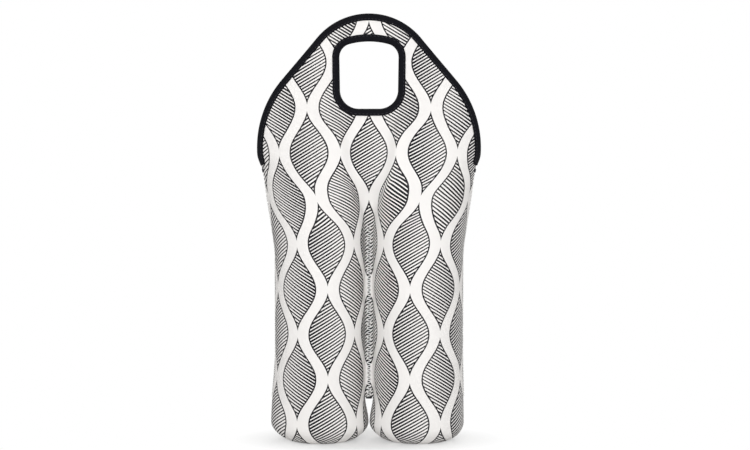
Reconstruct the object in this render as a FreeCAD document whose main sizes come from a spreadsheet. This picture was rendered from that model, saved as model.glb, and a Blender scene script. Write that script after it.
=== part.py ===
import FreeCAD, Part
import math
import os
from dataclasses import dataclass

import Sketcher
from FreeCAD import Vector

# Two-bottle carrier of sheet neoprene, with two bottle sleeves and a handle hole in each flap.
#
# The front and back panels meet edge to edge at Y = 0. They are sewn together down both sides, under
# the two feet and down the middle. Above the fold line each panel is a free flap with a handle hole.
# Frame: millimetres, +Z up, +X to the right, the front faces -Y, origin on the floor between the feet.

SIZES = {
    # Sheet and bottles
    "neoprene": 3.0,
    "bottle_radius": 37.5,
    "pinch_radius": 4.0,
    "panel_gap": 0.15,
    # Feet
    "crotch_height": 39.0,
    "base_corner_radius": 16.0,
    "base_bulge": 1.5,
    # Top of the centre seam and the fold line, above the floor
    "seam_top_height": 194.0,
    "fold_height": 245.0,
    # How far each section is wider than the sleeves, with the flap's widest past the fold line
    "seam_top_flare": 3.3,
    "shoulder_flare": 7.7,
    "fold_flare": 11.4,
    "arch_flare": 3.8,
    "flare_lobe_share": 0.5,
    # Sections between the crotch, the seam top and the fold line: how far up they lie
    "sleeve_height_share": 0.813,
    "shoulder_height_share": 0.51,
    # Depth of the sections, of the sleeve's radius, and their centre valley, of the depth
    "seam_top_depth_share": 0.988,
    "seam_top_opening": 0.45,
    "shoulder_depth_share": 0.901,
    "shoulder_valley_share": 0.384,
    "fold_depth_share": 0.765,
    "fold_valley_share": 0.742,
    # Sections up the flap: where they lie, and their depth, valley and free edge
    "fold_gap": 0.1,
    "flap_overhang": 2.9,
    "mouth_height": 17.0,
    "mouth_depth_share": 0.667,
    "mouth_valley_share": 0.796,
    "mouth_edge_share": 0.093,
    "hole_foot_drop": 5.9,
    "hole_foot_depth_share": 0.481,
    "hole_foot_valley_share": 0.872,
    "hole_foot_edge_share": 0.308,
    "hole_middle_height_share": 0.517,
    "hole_middle_depth_share": 0.242,
    "hole_middle_valley_share": 0.949,
    "hole_middle_edge_share": 0.612,
    "grip_rise": 2.0,
    "grip_gap": 0.3,
    "grip_bow": 0.6,
    "grip_dip": 0.15,
    # Outline of a flap, above the fold line, with its radii as shares of its height and half width
    "arch_widest_height": 18.0,
    "arch_crown_height": 137.6,
    "arch_shoulder_share": 0.786,
    "arch_crown_share": 0.597,
    # Handle hole and the strip above it that the hand holds
    "handle_height": 22.6,
    "hole_height": 62.1,
    "hole_bottom_half_width": 27.2,
    "hole_top_half_width": 27.6,
    "hole_bottom_corner": 18.0,
    "hole_top_corner": 13.0,
    "hole_top_radius": 70.0,
    # Binding tape, with its ends this far above the fold line, and its stitching
    "binding": 1.1,
    "binding_leg": 5.2,
    "binding_foot_height": 3.5,
    "binding_play": 0.05,
    "thread": 0.4,
    "stitch_inset": 1.2,
    "stitch_width": 0.6,
    # Seams and tacks
    "seam_width": 5.0,
    "seam_thread": 0.6,
    "seam_play": 0.05,
    "centre_seam_width": 4.4,
    "crotch_tack_width": 5.6,
    "crotch_tack_depth": 11.0,
    "crotch_tack_height": 1.7,
    "mouth_tack_width": 6.4,
    "mouth_tack_height": 3.2,
    "mouth_tack_thread": 1.0,
    # Every cut runs past what it cuts by this much
    "overrun": 30.0,
}

DOC = FreeCAD.newDocument("BottleCarrier")
SHEET = DOC.addObject("Spreadsheet::Sheet", "Sizes")
for row, (alias, size) in enumerate(SIZES.items(), 1):
    SHEET.set(f"A{row}", alias)
    SHEET.set(f"B{row}", str(size))
    SHEET.setAlias(f"B{row}", alias)
DOC.recompute()


def cell(alias):
    """The expression that reads a cell of the sheet."""
    return f"Sizes.{alias}"


def minus(expression):
    return f"(-{expression})"


def total(*expressions):
    return f"({' + '.join(expressions)})"


def value(expression):
    """What an expression on the sheet comes to, as a plain number."""
    return float(SHEET.evalExpression(expression))


def between(low, high, share):
    """The expression that lies a share of the way from one to another."""
    return f"({low} + {share} * ({high} - {low}))"


# Places that follow from the sizes

SLEEVE_RADIUS = total(cell("bottle_radius"), cell("neoprene"))
PINCH_DEPTH = total(cell("neoprene"), cell("panel_gap"))
PINCH_REACH = f"(({SLEEVE_RADIUS} + {cell('pinch_radius')})^2 - ({PINCH_DEPTH} + {cell('pinch_radius')})^2)"
LOBE_CENTRE = f"sqrt({PINCH_REACH})"
SLEEVE_HALF_WIDTH = total(LOBE_CENTRE, SLEEVE_RADIUS)
ARCH_HALF_WIDTH = total(SLEEVE_HALF_WIDTH, cell("fold_flare"), cell("arch_flare"))
ARCH_WIDEST = total(cell("fold_height"), cell("arch_widest_height"))
ARCH_CROWN = total(cell("fold_height"), cell("arch_crown_height"))
ARCH_SHOULDER_RADIUS = f"({cell('arch_shoulder_share')} * ({ARCH_CROWN} - {ARCH_WIDEST}))"
ARCH_CROWN_RADIUS = f"({cell('arch_crown_share')} * {ARCH_HALF_WIDTH})"
HOLE_TOP = f"({ARCH_CROWN} - {cell('handle_height')})"
HOLE_BOTTOM = f"({HOLE_TOP} - {cell('hole_height')})"
BINDING_FOOT = total(cell("fold_height"), cell("binding_foot_height"))
FLAP_FOOT = f"({cell('fold_height')} - {cell('overrun')})"
INNER_FACE = minus(cell("neoprene"))
GRIP_EDGE = total(cell("neoprene"), cell("binding"), cell("grip_gap"))
GRIP_DEPTH = total(GRIP_EDGE, cell("grip_bow"))
HEIGHTS = {
    "crotch": cell("crotch_height"),
    "sleeve": between(cell("crotch_height"), cell("seam_top_height"), cell("sleeve_height_share")),
    "seam_top": cell("seam_top_height"),
    "shoulder": between(cell("seam_top_height"), cell("fold_height"), cell("shoulder_height_share")),
    "fold": cell("fold_height"),
    "mouth": total(cell("fold_height"), cell("mouth_height")),
    "hole_foot": f"({HOLE_BOTTOM} - {cell('hole_foot_drop')})",
    "hole_middle": between(HOLE_BOTTOM, HOLE_TOP, cell("hole_middle_height_share")),
    "grip": total(HOLE_TOP, cell("grip_rise")),
    "arch_crown": ARCH_CROWN,
}


# Sections of the front panel

@dataclass(frozen=True)
class Station:
    """A level section of the front panel: two round lobes with a valley between them.

    All but the name are expressions. depth is how far the lobes stand in front of Y = 0, valley the same
    at X = 0, and edge the same at the side edges, which lie half_width from X = 0.
    """

    name: str
    height: str
    half_width: str
    centre: str
    edge: str
    depth: str
    valley: str

    def lobe_radius(self):
        bow = f"({self.depth} - {self.edge})"
        return f"((({self.half_width} - {self.centre})^2 + {bow}^2) / (2 * {bow}))"

    def lobe_y(self):
        return f"({self.lobe_radius()} - {self.depth})"

    def valley_radius(self):
        drop = total(self.valley, self.lobe_y())
        dip = f"({self.depth} - {self.valley})"
        return f"(({self.centre}^2 + {drop}^2 - {self.lobe_radius()}^2) / (2 * {dip}))"


def sleeve_station(name):
    """A section of the straight sleeves."""
    return Station(name, HEIGHTS[name], SLEEVE_HALF_WIDTH, LOBE_CENTRE, "0", SLEEVE_RADIUS, PINCH_DEPTH)


def depth_at(name):
    """How far the lobes of a section stand in front of Y = 0."""
    return f"({cell(f'{name}_depth_share')} * {SLEEVE_RADIUS})"


def part_of_depth(name, part):
    return f"({cell(f'{name}_{part}_share')} * {depth_at(name)})"


def flared_station(name, valley, edge="0", lift="0"):
    """A section above the straight sleeves, where the panel flares towards the mouth."""
    flare = cell(f"{name}_flare")
    return Station(
        name,
        total(HEIGHTS[name], lift),
        total(SLEEVE_HALF_WIDTH, flare),
        f"({LOBE_CENTRE} + {cell('flare_lobe_share')} * {flare})",
        edge,
        depth_at(name),
        valley,
    )


def flap_station(name, edge, depth, valley, lift="0"):
    """A section of the flap, which reaches past the flap's outline so that the outline trims it."""
    return Station(
        name,
        total(HEIGHTS[name], lift),
        total(ARCH_HALF_WIDTH, cell("flap_overhang")),
        f"({LOBE_CENTRE} + {cell('flare_lobe_share')} * {cell('fold_flare')})",
        edge,
        depth,
        valley,
    )


def bowed_station(name):
    """A section of the flap where it stands away from the other one."""
    return flap_station(name, part_of_depth(name, "edge"), depth_at(name), part_of_depth(name, "valley"))


def grip_station(name, lift="0"):
    """A section where the two flaps lie flat against each other."""
    return flap_station(name, GRIP_EDGE, GRIP_DEPTH, f"({GRIP_DEPTH} - {cell('grip_dip')})", lift)


SLEEVE_TOP = sleeve_station("sleeve")
SEAM_TOP = flared_station("seam_top", total(PINCH_DEPTH, cell("seam_top_opening")))
FOLD_VALLEY = part_of_depth("fold", "valley")
SLEEVE_RUNS = [
    [sleeve_station("crotch"), SLEEVE_TOP],
    [SLEEVE_TOP, SEAM_TOP],
    [
        SEAM_TOP,
        flared_station("shoulder", part_of_depth("shoulder", "valley")),
        flared_station("fold", FOLD_VALLEY),
    ],
]
FLAP_RUNS = [
    [
        flared_station("fold", FOLD_VALLEY, edge=cell("panel_gap"), lift=cell("fold_gap")),
        bowed_station("mouth"),
        bowed_station("hole_foot"),
        bowed_station("hole_middle"),
        grip_station("grip"),
    ],
    [grip_station("grip"), grip_station("arch_crown", lift=cell("overrun"))],
]


# Sketches

START, END, CENTRE = 1, 2, 3
VERTICAL_AXIS, LEVEL_AXIS = -2, -1


class Drawing:
    """A sketch on one of a body's own origin planes, with its sizes bound to the sheet."""

    def __init__(self, body, name, plane, height=None):
        self.sketch = body.newObject("Sketcher::SketchObject", f"{body.Label}_{name}")
        support = [feature for feature in body.Origin.OriginFeatures if feature.Role == plane][0]
        self.sketch.AttachmentSupport = [(support, "")]
        self.sketch.MapMode = "FlatFace"
        if height:
            self.sketch.setExpression("AttachmentOffset.Base.z", height)

    def line(self, start, end):
        return self.sketch.addGeometry(Part.LineSegment(Vector(*start, 0), Vector(*end, 0)))

    def arc(self, centre, radius, start, end):
        """An arc anticlockwise from one point's direction to another's, as seen from its centre."""
        angles = [math.atan2(point[1] - centre[1], point[0] - centre[0]) for point in (start, end)]
        if angles[1] <= angles[0]:
            angles[1] += math.tau
        circle = Part.Circle(Vector(*centre, 0), Vector(0, 0, 1), radius)
        return self.sketch.addGeometry(Part.ArcOfCircle(circle, *angles))

    def rule(self, kind, *where, size=None):
        """Adds a constraint, with its size, if it has one, bound to an expression."""
        if size is None:
            self.sketch.addConstraint(Sketcher.Constraint(kind, *where))
            return
        index = self.sketch.addConstraint(Sketcher.Constraint(kind, *where, value(size)))
        self.sketch.setExpression(f"Constraints[{index}]", size)

    def place(self, item, point, x=None, y=None):
        """Sets a point's coordinates, or puts it on an axis where a coordinate is zero."""
        for kind, size, axis in (("DistanceX", x, VERTICAL_AXIS), ("DistanceY", y, LEVEL_AXIS)):
            if size == "0":
                self.rule("PointOnObject", item, point, axis)
            elif size:
                self.rule(kind, item, point, size=size)

    def join(self, *pairs):
        """Makes pairs of points coincide."""
        for first, second in pairs:
            self.rule("Coincident", *first, *second)

    def tangent(self, *pairs):
        """Joins pairs of end points smoothly."""
        for first, second in pairs:
            self.rule("Tangent", *first, *second)

    def rectangle(self, left, right, low, high):
        """A rectangle between four expressions."""
        x0, x1, y0, y1 = map(value, (left, right, low, high))
        corners = [(x0, y0), (x1, y0), (x1, y1), (x0, y1)]
        sides = [self.line(corners[i - 1], corners[i]) for i in range(len(corners))]
        self.join(*(((sides[i - 1], END), (sides[i], START)) for i in range(len(sides))))
        for side, kind in zip(sides, ("Vertical", "Horizontal") * 2):
            self.rule(kind, side)
        self.place(sides[1], START, left, low)
        self.place(sides[2], END, right, high)


def towards(start, end, distance):
    """The point at a distance from start on the way to end."""
    reach = distance / math.dist(start, end)
    return tuple(s + reach * (e - s) for s, e in zip(start, end))


def common_normal(first, first_radius, second, second_radius):
    """The unit normal of the line that touches two circles on their right, going from first to second."""
    run = math.atan2(second[1] - first[1], second[0] - first[0])
    turn = math.acos((first_radius - second_radius) / math.dist(first, second))
    return math.cos(run - turn), math.sin(run - turn)


def along(centre, normal, radius):
    return centre[0] + radius * normal[0], centre[1] + radius * normal[1]


def flip(point):
    return -point[0], point[1]


def draw_ring(body, name, station, outward, inward, square_ends):
    """A closed section of the sheet between two offsets outward from a station's face.

    The side edges end square to the sheet, or else on the line Y = 0.
    """
    drawing = Drawing(body, name, "XY_Plane", station.height)
    lobe_radius, valley_radius = value(station.lobe_radius()), value(station.valley_radius())
    edge = value(station.edge)
    lobe = (value(station.centre), value(station.lobe_y()))
    valley = (0, -value(station.valley) - valley_radius)
    rim = (lobe[0] + math.sqrt(lobe_radius**2 - (lobe[1] + edge) ** 2), -edge)
    faces = []
    for offset in (outward, inward):
        radius = lobe_radius + value(offset)
        meet = towards(lobe, valley, radius)
        tip = (lobe[0] + math.sqrt(radius**2 - lobe[1] ** 2), 0)
        if square_ends:
            tip = towards(lobe, rim, radius)
        right = drawing.arc(lobe, radius, meet, tip)
        middle = drawing.arc(valley, valley_radius - value(offset), meet, flip(meet))
        left = drawing.arc(flip(lobe), radius, flip(tip), flip(meet))
        drawing.tangent(((right, START), (middle, START)), ((middle, END), (left, END)))
        faces.append((right, middle, left, tip))
    (right, middle, left, tip), (right_in, middle_in, left_in, tip_in) = faces
    right_cap = drawing.line(tip, tip_in)
    left_cap = drawing.line(flip(tip), flip(tip_in))
    drawing.join(
        ((right_in, CENTRE), (right, CENTRE)),
        ((middle_in, CENTRE), (middle, CENTRE)),
        ((left_in, CENTRE), (left, CENTRE)),
        ((right_cap, START), (right, END)),
        ((right_cap, END), (right_in, END)),
        ((left_cap, START), (left, START)),
        ((left_cap, END), (left_in, START)),
    )
    drawing.place(middle, CENTRE, x="0")
    drawing.place(right, CENTRE, x=station.centre, y=station.lobe_y())
    drawing.rule("Horizontal", right, CENTRE, left, CENTRE)
    drawing.rule("Equal", right, left)
    drawing.rule("Radius", right, size=f"({station.lobe_radius()} + {outward})")
    drawing.rule("Radius", middle, size=f"({station.valley_radius()} - {outward})")
    drawing.rule("Radius", right_in, size=f"({station.lobe_radius()} + {inward})")
    if square_ends:
        slope = f"(({station.lobe_y()} + {station.edge}) / {station.lobe_radius()})"
        tip_y = f"({station.lobe_y()} - {slope} * ({station.lobe_radius()} + {outward}))"
        drawing.place(right, END, y=tip_y)
        drawing.place(left, START, y=tip_y)
        drawing.rule("PointOnObject", right, CENTRE, right_cap)
        drawing.rule("PointOnObject", left, CENTRE, left_cap)
    else:
        for item, point in ((right, END), (left, START), (right_in, END), (left_in, START)):
            drawing.place(item, point, y="0")
    return drawing.sketch


def draw_arch(drawing, offset, foot):
    """The outline of a flap, offset outward and closed by a level line at its foot."""
    shoulder = f"({ARCH_HALF_WIDTH} - {ARCH_SHOULDER_RADIUS})", ARCH_WIDEST
    crown = f"({ARCH_CROWN} - {ARCH_CROWN_RADIUS})"
    shoulder_radius = total(ARCH_SHOULDER_RADIUS, offset)
    crown_radius = total(ARCH_CROWN_RADIUS, offset)
    low, high = tuple(map(value, shoulder)), (0, value(crown))
    low_radius, high_radius, foot_y = value(shoulder_radius), value(crown_radius), value(foot)
    normal = common_normal(low, low_radius, high, high_radius)
    flank = [along(low, normal, low_radius), along(high, normal, high_radius)]
    toe = (low[0] + math.sqrt(low_radius**2 - (foot_y - low[1]) ** 2), foot_y)
    base = drawing.line(flip(toe), toe)
    right = drawing.arc(low, low_radius, toe, flank[0])
    right_flank = drawing.line(*flank)
    top = drawing.arc(high, high_radius, flank[1], flip(flank[1]))
    left_flank = drawing.line(flip(flank[1]), flip(flank[0]))
    left = drawing.arc(flip(low), low_radius, flip(flank[0]), flip(toe))
    drawing.join(((base, END), (right, START)), ((left, END), (base, START)))
    drawing.tangent(
        ((right, END), (right_flank, START)),
        ((right_flank, END), (top, START)),
        ((top, END), (left_flank, START)),
        ((left_flank, END), (left, START)),
    )
    drawing.place(top, CENTRE, x="0", y=crown)
    drawing.rule("Radius", top, size=crown_radius)
    drawing.place(right, CENTRE, *shoulder)
    drawing.rule("Radius", right, size=shoulder_radius)
    drawing.rule("Equal", right, left)
    drawing.rule("Symmetric", right, CENTRE, left, CENTRE, VERTICAL_AXIS)
    drawing.rule("Horizontal", base)
    drawing.place(base, START, y=foot)


def draw_hole(drawing, offset):
    """The outline of the handle hole, offset outward."""
    corner_x = f"({cell('hole_bottom_half_width')} - {cell('hole_bottom_corner')})"
    corner_y = total(HOLE_BOTTOM, cell("hole_bottom_corner"))
    upper_x = f"({cell('hole_top_half_width')} - {cell('hole_top_corner')})"
    roof_y = f"({HOLE_TOP} - {cell('hole_top_radius')})"
    corner_radius = total(cell("hole_bottom_corner"), offset)
    upper_radius = total(cell("hole_top_corner"), offset)
    roof_radius = total(cell("hole_top_radius"), offset)
    low, low_radius = (value(corner_x), value(corner_y)), value(corner_radius)
    roof, high_radius, dome_radius = (0, value(roof_y)), value(upper_radius), value(roof_radius)
    reach = math.sqrt((dome_radius - high_radius) ** 2 - value(upper_x) ** 2)
    high = (value(upper_x), roof[1] + reach)
    normal = common_normal(low, low_radius, high, high_radius)
    sill = (low[0], low[1] - low_radius)
    side = [along(low, normal, low_radius), along(high, normal, high_radius)]
    spring = towards(roof, high, dome_radius)
    floor = drawing.line(flip(sill), sill)
    low_right = drawing.arc(low, low_radius, sill, side[0])
    right = drawing.line(*side)
    high_right = drawing.arc(high, high_radius, side[1], spring)
    dome = drawing.arc(roof, dome_radius, spring, flip(spring))
    high_left = drawing.arc(flip(high), high_radius, flip(spring), flip(side[1]))
    left = drawing.line(flip(side[1]), flip(side[0]))
    low_left = drawing.arc(flip(low), low_radius, flip(side[0]), flip(sill))
    edges = [floor, low_right, right, high_right, dome, high_left, left, low_left]
    drawing.tangent(*(((edges[i - 1], END), (edges[i], START)) for i in range(len(edges))))
    drawing.rule("Horizontal", floor)
    drawing.place(low_right, CENTRE, corner_x, corner_y)
    drawing.place(low_left, CENTRE, x=minus(corner_x))
    drawing.place(high_right, CENTRE, x=upper_x)
    drawing.place(high_left, CENTRE, x=minus(upper_x))
    drawing.place(dome, CENTRE, x="0", y=roof_y)
    drawing.rule("Radius", dome, size=roof_radius)
    drawing.rule("Radius", low_right, size=corner_radius)
    drawing.rule("Equal", low_right, low_left)
    drawing.rule("Radius", high_right, size=upper_radius)
    drawing.rule("Equal", high_right, high_left)


def draw_foot(body, name, side, outward, inward):
    """The wall of a foot between two offsets outward from its face, from its axis up to the crotch.

    side is 1 for the outer half of the foot's section and -1 for the inner half.
    """
    drawing = Drawing(body, name, "XZ_Plane")
    corner, bulge = cell("base_corner_radius"), cell("base_bulge")
    rise = f"({cell('crotch_height')} - {corner})"
    belly_radius = f"(({bulge}^2 + {rise}^2) / (2 * {bulge}))"
    flat = f"({SLEEVE_RADIUS} + {bulge} - {corner})"
    inset = f"({SLEEVE_RADIUS} + {bulge} - {belly_radius})"
    corner_x = f"({LOBE_CENTRE} + {side} * {flat})"
    belly_x = f"({LOBE_CENTRE} + {side} * {inset})"
    axis = value(LOBE_CENTRE)
    top = value(cell("crotch_height"))
    corner_centre = (value(corner_x), value(corner))
    belly_centre = (value(belly_x), value(corner))
    faces = []
    for offset in (outward, inward):
        shift = value(offset)
        radius, wide = value(corner) + shift, value(belly_radius) + shift
        middle = (axis, -shift)
        heel = (corner_centre[0], -shift)
        waist = (corner_centre[0] + side * radius, corner_centre[1])
        tip = (belly_centre[0] + side * math.sqrt(wide**2 - (top - belly_centre[1]) ** 2), top)
        floor = drawing.line(middle, heel)
        if side > 0:
            bend = drawing.arc(corner_centre, radius, heel, waist)
            belly = drawing.arc(belly_centre, wide, waist, tip)
            near, far = START, END
        else:
            bend = drawing.arc(corner_centre, radius, waist, heel)
            belly = drawing.arc(belly_centre, wide, tip, waist)
            near, far = END, START
        drawing.tangent(((floor, END), (bend, near)), ((bend, far), (belly, near)))
        drawing.rule("Horizontal", floor)
        drawing.rule("Radius", bend, size=total(corner, offset))
        drawing.place(belly, far, y=cell("crotch_height"))
        faces.append((floor, bend, belly, middle, tip))
    (floor, bend, belly, middle, tip), (floor_in, bend_in, belly_in, middle_in, tip_in) = faces
    rim = drawing.line(tip, tip_in)
    core = drawing.line(middle, middle_in)
    drawing.join(
        ((bend_in, CENTRE), (bend, CENTRE)),
        ((belly_in, CENTRE), (belly, CENTRE)),
        ((rim, START), (belly, far)),
        ((rim, END), (belly_in, far)),
        ((core, START), (floor, START)),
        ((core, END), (floor_in, START)),
    )
    drawing.place(bend, CENTRE, corner_x, corner)
    drawing.rule("Horizontal", bend, CENTRE, belly, CENTRE)
    drawing.place(belly, CENTRE, x=belly_x)
    drawing.rule("Vertical", core)
    drawing.place(core, START, x=LOBE_CENTRE)
    return drawing.sketch, core


# Features

def new_body(label):
    body = DOC.addObject("PartDesign::Body", label)
    body.Label = label
    return body


def add_sheet(body, runs, outward, inward, square_ends=False):
    """Lofts the sheet between two offsets from the panel's outer face, one loft for each run of stations."""
    for number, run in enumerate(runs):
        rings = [
            draw_ring(body, f"{station.name}_{number}", station, outward, inward, square_ends)
            for station in run
        ]
        loft = body.newObject("PartDesign::AdditiveLoft", f"{body.Label}_run_{number}")
        loft.Profile = rings[0]
        loft.Sections = rings[1:]


def add_pocket(body, sketch, name, length=None):
    """Cuts a sketch out on both sides of its plane, right through or over a length in all."""
    pocket = body.newObject("PartDesign::Pocket", f"{body.Label}_{name}")
    pocket.Profile = sketch
    pocket.SideType = "Symmetric"
    if length:
        pocket.setExpression("Length", length)
    else:
        pocket.Type = "ThroughAll"
    return pocket


def add_pad(body, sketch, name, length, symmetric=False):
    pad = body.newObject("PartDesign::Pad", f"{body.Label}_{name}")
    pad.Profile = sketch
    if symmetric:
        pad.SideType = "Symmetric"
    pad.setExpression("Length", length)
    return pad


REACH = total(ARCH_HALF_WIDTH, cell("overrun"))
FLOOR = minus(cell("overrun"))
SKY = f"({ARCH_CROWN} + 2 * {cell('overrun')})"


def keep_window(body, name, plane, left, right, low, high):
    """Cuts away all that lies outside a rectangle on a plane."""
    drawing = Drawing(body, name, plane)
    drawing.rectangle(minus(REACH), REACH, FLOOR, SKY)
    drawing.rectangle(left, right, low, high)
    add_pocket(body, drawing.sketch, f"{name}_cut")


def cut_at_back(body):
    """Cuts away what of a flap piece would cross into the other panel's half."""
    drawing = Drawing(body, "back", "YZ_Plane")
    drawing.rectangle(minus(cell("panel_gap")), REACH, FLOOR, SKY)
    add_pocket(body, drawing.sketch, "back_cut")


def keep_arch(body, offset, foot):
    """Cuts away all that lies outside the flap's outline, offset outward, or below a foot."""
    drawing = Drawing(body, "arch", "XZ_Plane")
    drawing.rectangle(minus(REACH), REACH, FLOOR, SKY)
    draw_arch(drawing, offset, foot)
    add_pocket(body, drawing.sketch, "arch_cut")


def cut_arch(body, offset):
    """Cuts away all that lies inside the flap's outline, offset outward."""
    drawing = Drawing(body, "inside", "XZ_Plane")
    draw_arch(drawing, offset, FLAP_FOOT)
    add_pocket(body, drawing.sketch, "inside_cut")


def keep_hole(body, offset):
    """Cuts away all that lies outside the hole's outline, offset outward."""
    drawing = Drawing(body, "surround", "XZ_Plane")
    drawing.rectangle(minus(REACH), REACH, FLOOR, SKY)
    draw_hole(drawing, offset)
    add_pocket(body, drawing.sketch, "surround_cut")


def cut_hole(body, offset):
    """Cuts the handle hole, offset outward."""
    drawing = Drawing(body, "hole", "XZ_Plane")
    draw_hole(drawing, offset)
    add_pocket(body, drawing.sketch, "hole_cut")


def flap_body(label, outward, inward):
    """The sheet of a flap between two offsets, on its own side of the carrier, with no outline yet."""
    body = new_body(label)
    add_sheet(body, FLAP_RUNS, outward, inward, square_ends=True)
    cut_at_back(body)
    return body


def cut(label, base, tool):
    """A copy of one piece with another taken out of it."""
    feature = DOC.addObject("Part::Cut", label)
    feature.Label = label
    feature.Base = base
    feature.Tool = tool
    return feature


def mirror(label, source, normal):
    """A mirrored copy of a piece, across the plane through the origin with a normal."""
    feature = DOC.addObject("Part::Mirroring", label)
    feature.Label = label
    feature.Source = source
    feature.Normal = normal
    return feature


TO_LEFT = Vector(1, 0, 0)
TO_BACK = Vector(0, 1, 0)


def make_sleeve_panel():
    """The lower part of the front panel: half of two sleeves that run down into two closed feet."""
    body = new_body("front_sleeve_panel")
    add_sheet(body, SLEEVE_RUNS, "0", INNER_FACE)
    sketch, axis = draw_foot(body, "foot", 1, "0", INNER_FACE)
    foot = body.newObject("PartDesign::Revolution", "front_sleeve_panel_foot_turn")
    foot.Profile = sketch
    foot.ReferenceAxis = (sketch, [f"Edge{axis + 1}"])
    foot.Angle = 180
    foot.Reversed = True
    grooves = []
    for side, name in ((1, "outer_groove"), (-1, "inner_groove")):
        groove, _ = draw_foot(body, name, side, cell("seam_thread"), minus(cell("seam_thread")))
        grooves.append(add_pocket(body, groove, f"{name}_cut", cell("seam_width")))
    twin = body.newObject("PartDesign::Mirrored", "front_sleeve_panel_twin")
    twin.Originals = [foot, *grooves]
    plane = [feature for feature in body.Origin.OriginFeatures if feature.Role == "YZ_Plane"][0]
    twin.MirrorPlane = (plane, [""])
    body.Tip = twin
    return body


def make_flap():
    """The upper part of the front panel, with its arched edge and its handle hole."""
    body = flap_body("front_handle_flap", "0", INNER_FACE)
    keep_arch(body, "0", FLAP_FOOT)
    cut_hole(body, "0")
    return body


def make_bindings():
    """The tape round the arched edge and round the handle hole: a channel that grips the sheet."""
    outer = cell("binding")
    inner = f"(-{cell('neoprene')} - {cell('binding')})"
    play = cell("binding_play")
    core = flap_body("binding_core", play, f"(-{cell('neoprene')} - {play})")
    keep_arch(core, play, FLAP_FOOT)
    cut_hole(core, minus(play))
    edge = flap_body("edge_tape", outer, inner)
    keep_arch(edge, outer, BINDING_FOOT)
    cut_arch(edge, minus(cell("binding_leg")))
    hole = flap_body("handle_tape", outer, inner)
    keep_hole(hole, cell("binding_leg"))
    cut_hole(hole, minus(outer))
    return cut("front_edge_binding", edge, core), cut("front_handle_binding", hole, core)


def make_stitching():
    """The row of thread that lies on the tape, near the tape's inner edge."""
    outer = total(cell("binding"), cell("thread"))
    inner = total(cell("binding"), cell("binding_play"))
    near = f"({cell('binding_leg')} - {cell('stitch_inset')})"
    far = f"({near} - {cell('stitch_width')})"
    edge = flap_body("front_edge_stitching", outer, inner)
    keep_arch(edge, minus(far), BINDING_FOOT)
    cut_arch(edge, minus(near))
    hole = flap_body("front_handle_stitching", outer, inner)
    keep_hole(hole, near)
    cut_hole(hole, far)
    return edge, hole


def make_side_strip(label, thread, width, low, high):
    """A strip of thread up the right side, over the edges of both panels."""
    half = new_body(f"{label}_half")
    add_sheet(half, SLEEVE_RUNS, total(cell("seam_play"), thread), cell("seam_play"))
    keep_window(half, "band", "YZ_Plane", f"(-{width} / 2)", cell("overrun"), low, high)
    side = f"({ARCH_HALF_WIDTH} + {cell('overrun')} / 2)"
    keep_window(half, "right", "XZ_Plane", LOBE_CENTRE, side, low, high)
    strip = DOC.addObject("Part::Fuse", label)
    strip.Label = label
    strip.Base = half
    strip.Tool = mirror(f"{label}_twin", half, TO_BACK)
    strip.Refine = True
    return strip


def make_base_seam():
    """The thread under the right foot, sunk into the groove where the panels meet."""
    body = new_body("right_base_seam")
    play = cell("seam_play")
    for side, name in ((1, "outer"), (-1, "inner")):
        band, _ = draw_foot(body, name, side, minus(play), f"({play} - {cell('seam_thread')})")
        add_pad(body, band, f"{name}_pad", f"({cell('seam_width')} - 2 * {play})", symmetric=True)
    return body


def make_centre_seam():
    """The thread down the valley between the sleeves."""
    body = new_body("front_centre_seam")
    play = cell("seam_play")
    add_sheet(body, SLEEVE_RUNS[:2], total(play, cell("seam_thread")), play)
    half = f"({cell('centre_seam_width')} / 2)"
    low = total(cell("crotch_height"), play)
    keep_window(body, "band", "XZ_Plane", minus(half), half, low, cell("seam_top_height"))
    return body


def make_crotch_tack():
    """The bar of stitches that closes the foot of the centre seam, under both panels."""
    body = new_body("crotch_bar_tack")
    top = f"({cell('crotch_height')} - {cell('seam_play')})"
    drawing = Drawing(body, "outline", "XY_Plane", f"({top} - {cell('crotch_tack_height')})")
    radius = f"({cell('crotch_tack_width')} / 2)"
    centre = f"({cell('crotch_tack_depth')} / 2 - {radius})"
    r, c = value(radius), value(centre)
    back = drawing.arc((0, c), r, (r, c), (-r, c))
    left = drawing.line((-r, c), (-r, -c))
    front = drawing.arc((0, -c), r, (-r, -c), (r, -c))
    right = drawing.line((r, -c), (r, c))
    edges = [back, left, front, right]
    drawing.tangent(*(((edges[i - 1], END), (edges[i], START)) for i in range(len(edges))))
    drawing.place(back, CENTRE, x="0", y=centre)
    drawing.place(front, CENTRE, y=minus(centre))
    drawing.rule("Vertical", left)
    drawing.rule("Radius", back, size=radius)
    add_pad(body, drawing.sketch, "bar", cell("crotch_tack_height"))
    return body


def make_front():
    """The pieces of the front half, each with a mirrored twin at the back."""
    edge_binding, handle_binding = make_bindings()
    edge_stitching, handle_stitching = make_stitching()
    fronts = [make_sleeve_panel(), make_centre_seam(), make_flap()]
    fronts += [edge_binding, handle_binding, edge_stitching, handle_stitching]
    return fronts + [mirror(piece.Label.replace("front", "back"), piece, TO_BACK) for piece in fronts]


def make_right():
    """The pieces of the right side, each with a mirrored twin on the left."""
    fold = cell("fold_height")
    tack_foot = f"({fold} - {cell('mouth_tack_height')})"
    seam_top = f"({tack_foot} - {cell('seam_play')})"
    seam = make_side_strip(
        "right_side_seam", cell("seam_thread"), cell("seam_width"), cell("crotch_height"), seam_top
    )
    tack = make_side_strip(
        "right_mouth_tack", cell("mouth_tack_thread"), cell("mouth_tack_width"), tack_foot, fold
    )
    rights = [seam, tack, make_base_seam()]
    return rights + [mirror(piece.Label.replace("right", "left"), piece, TO_LEFT) for piece in rights]


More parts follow.
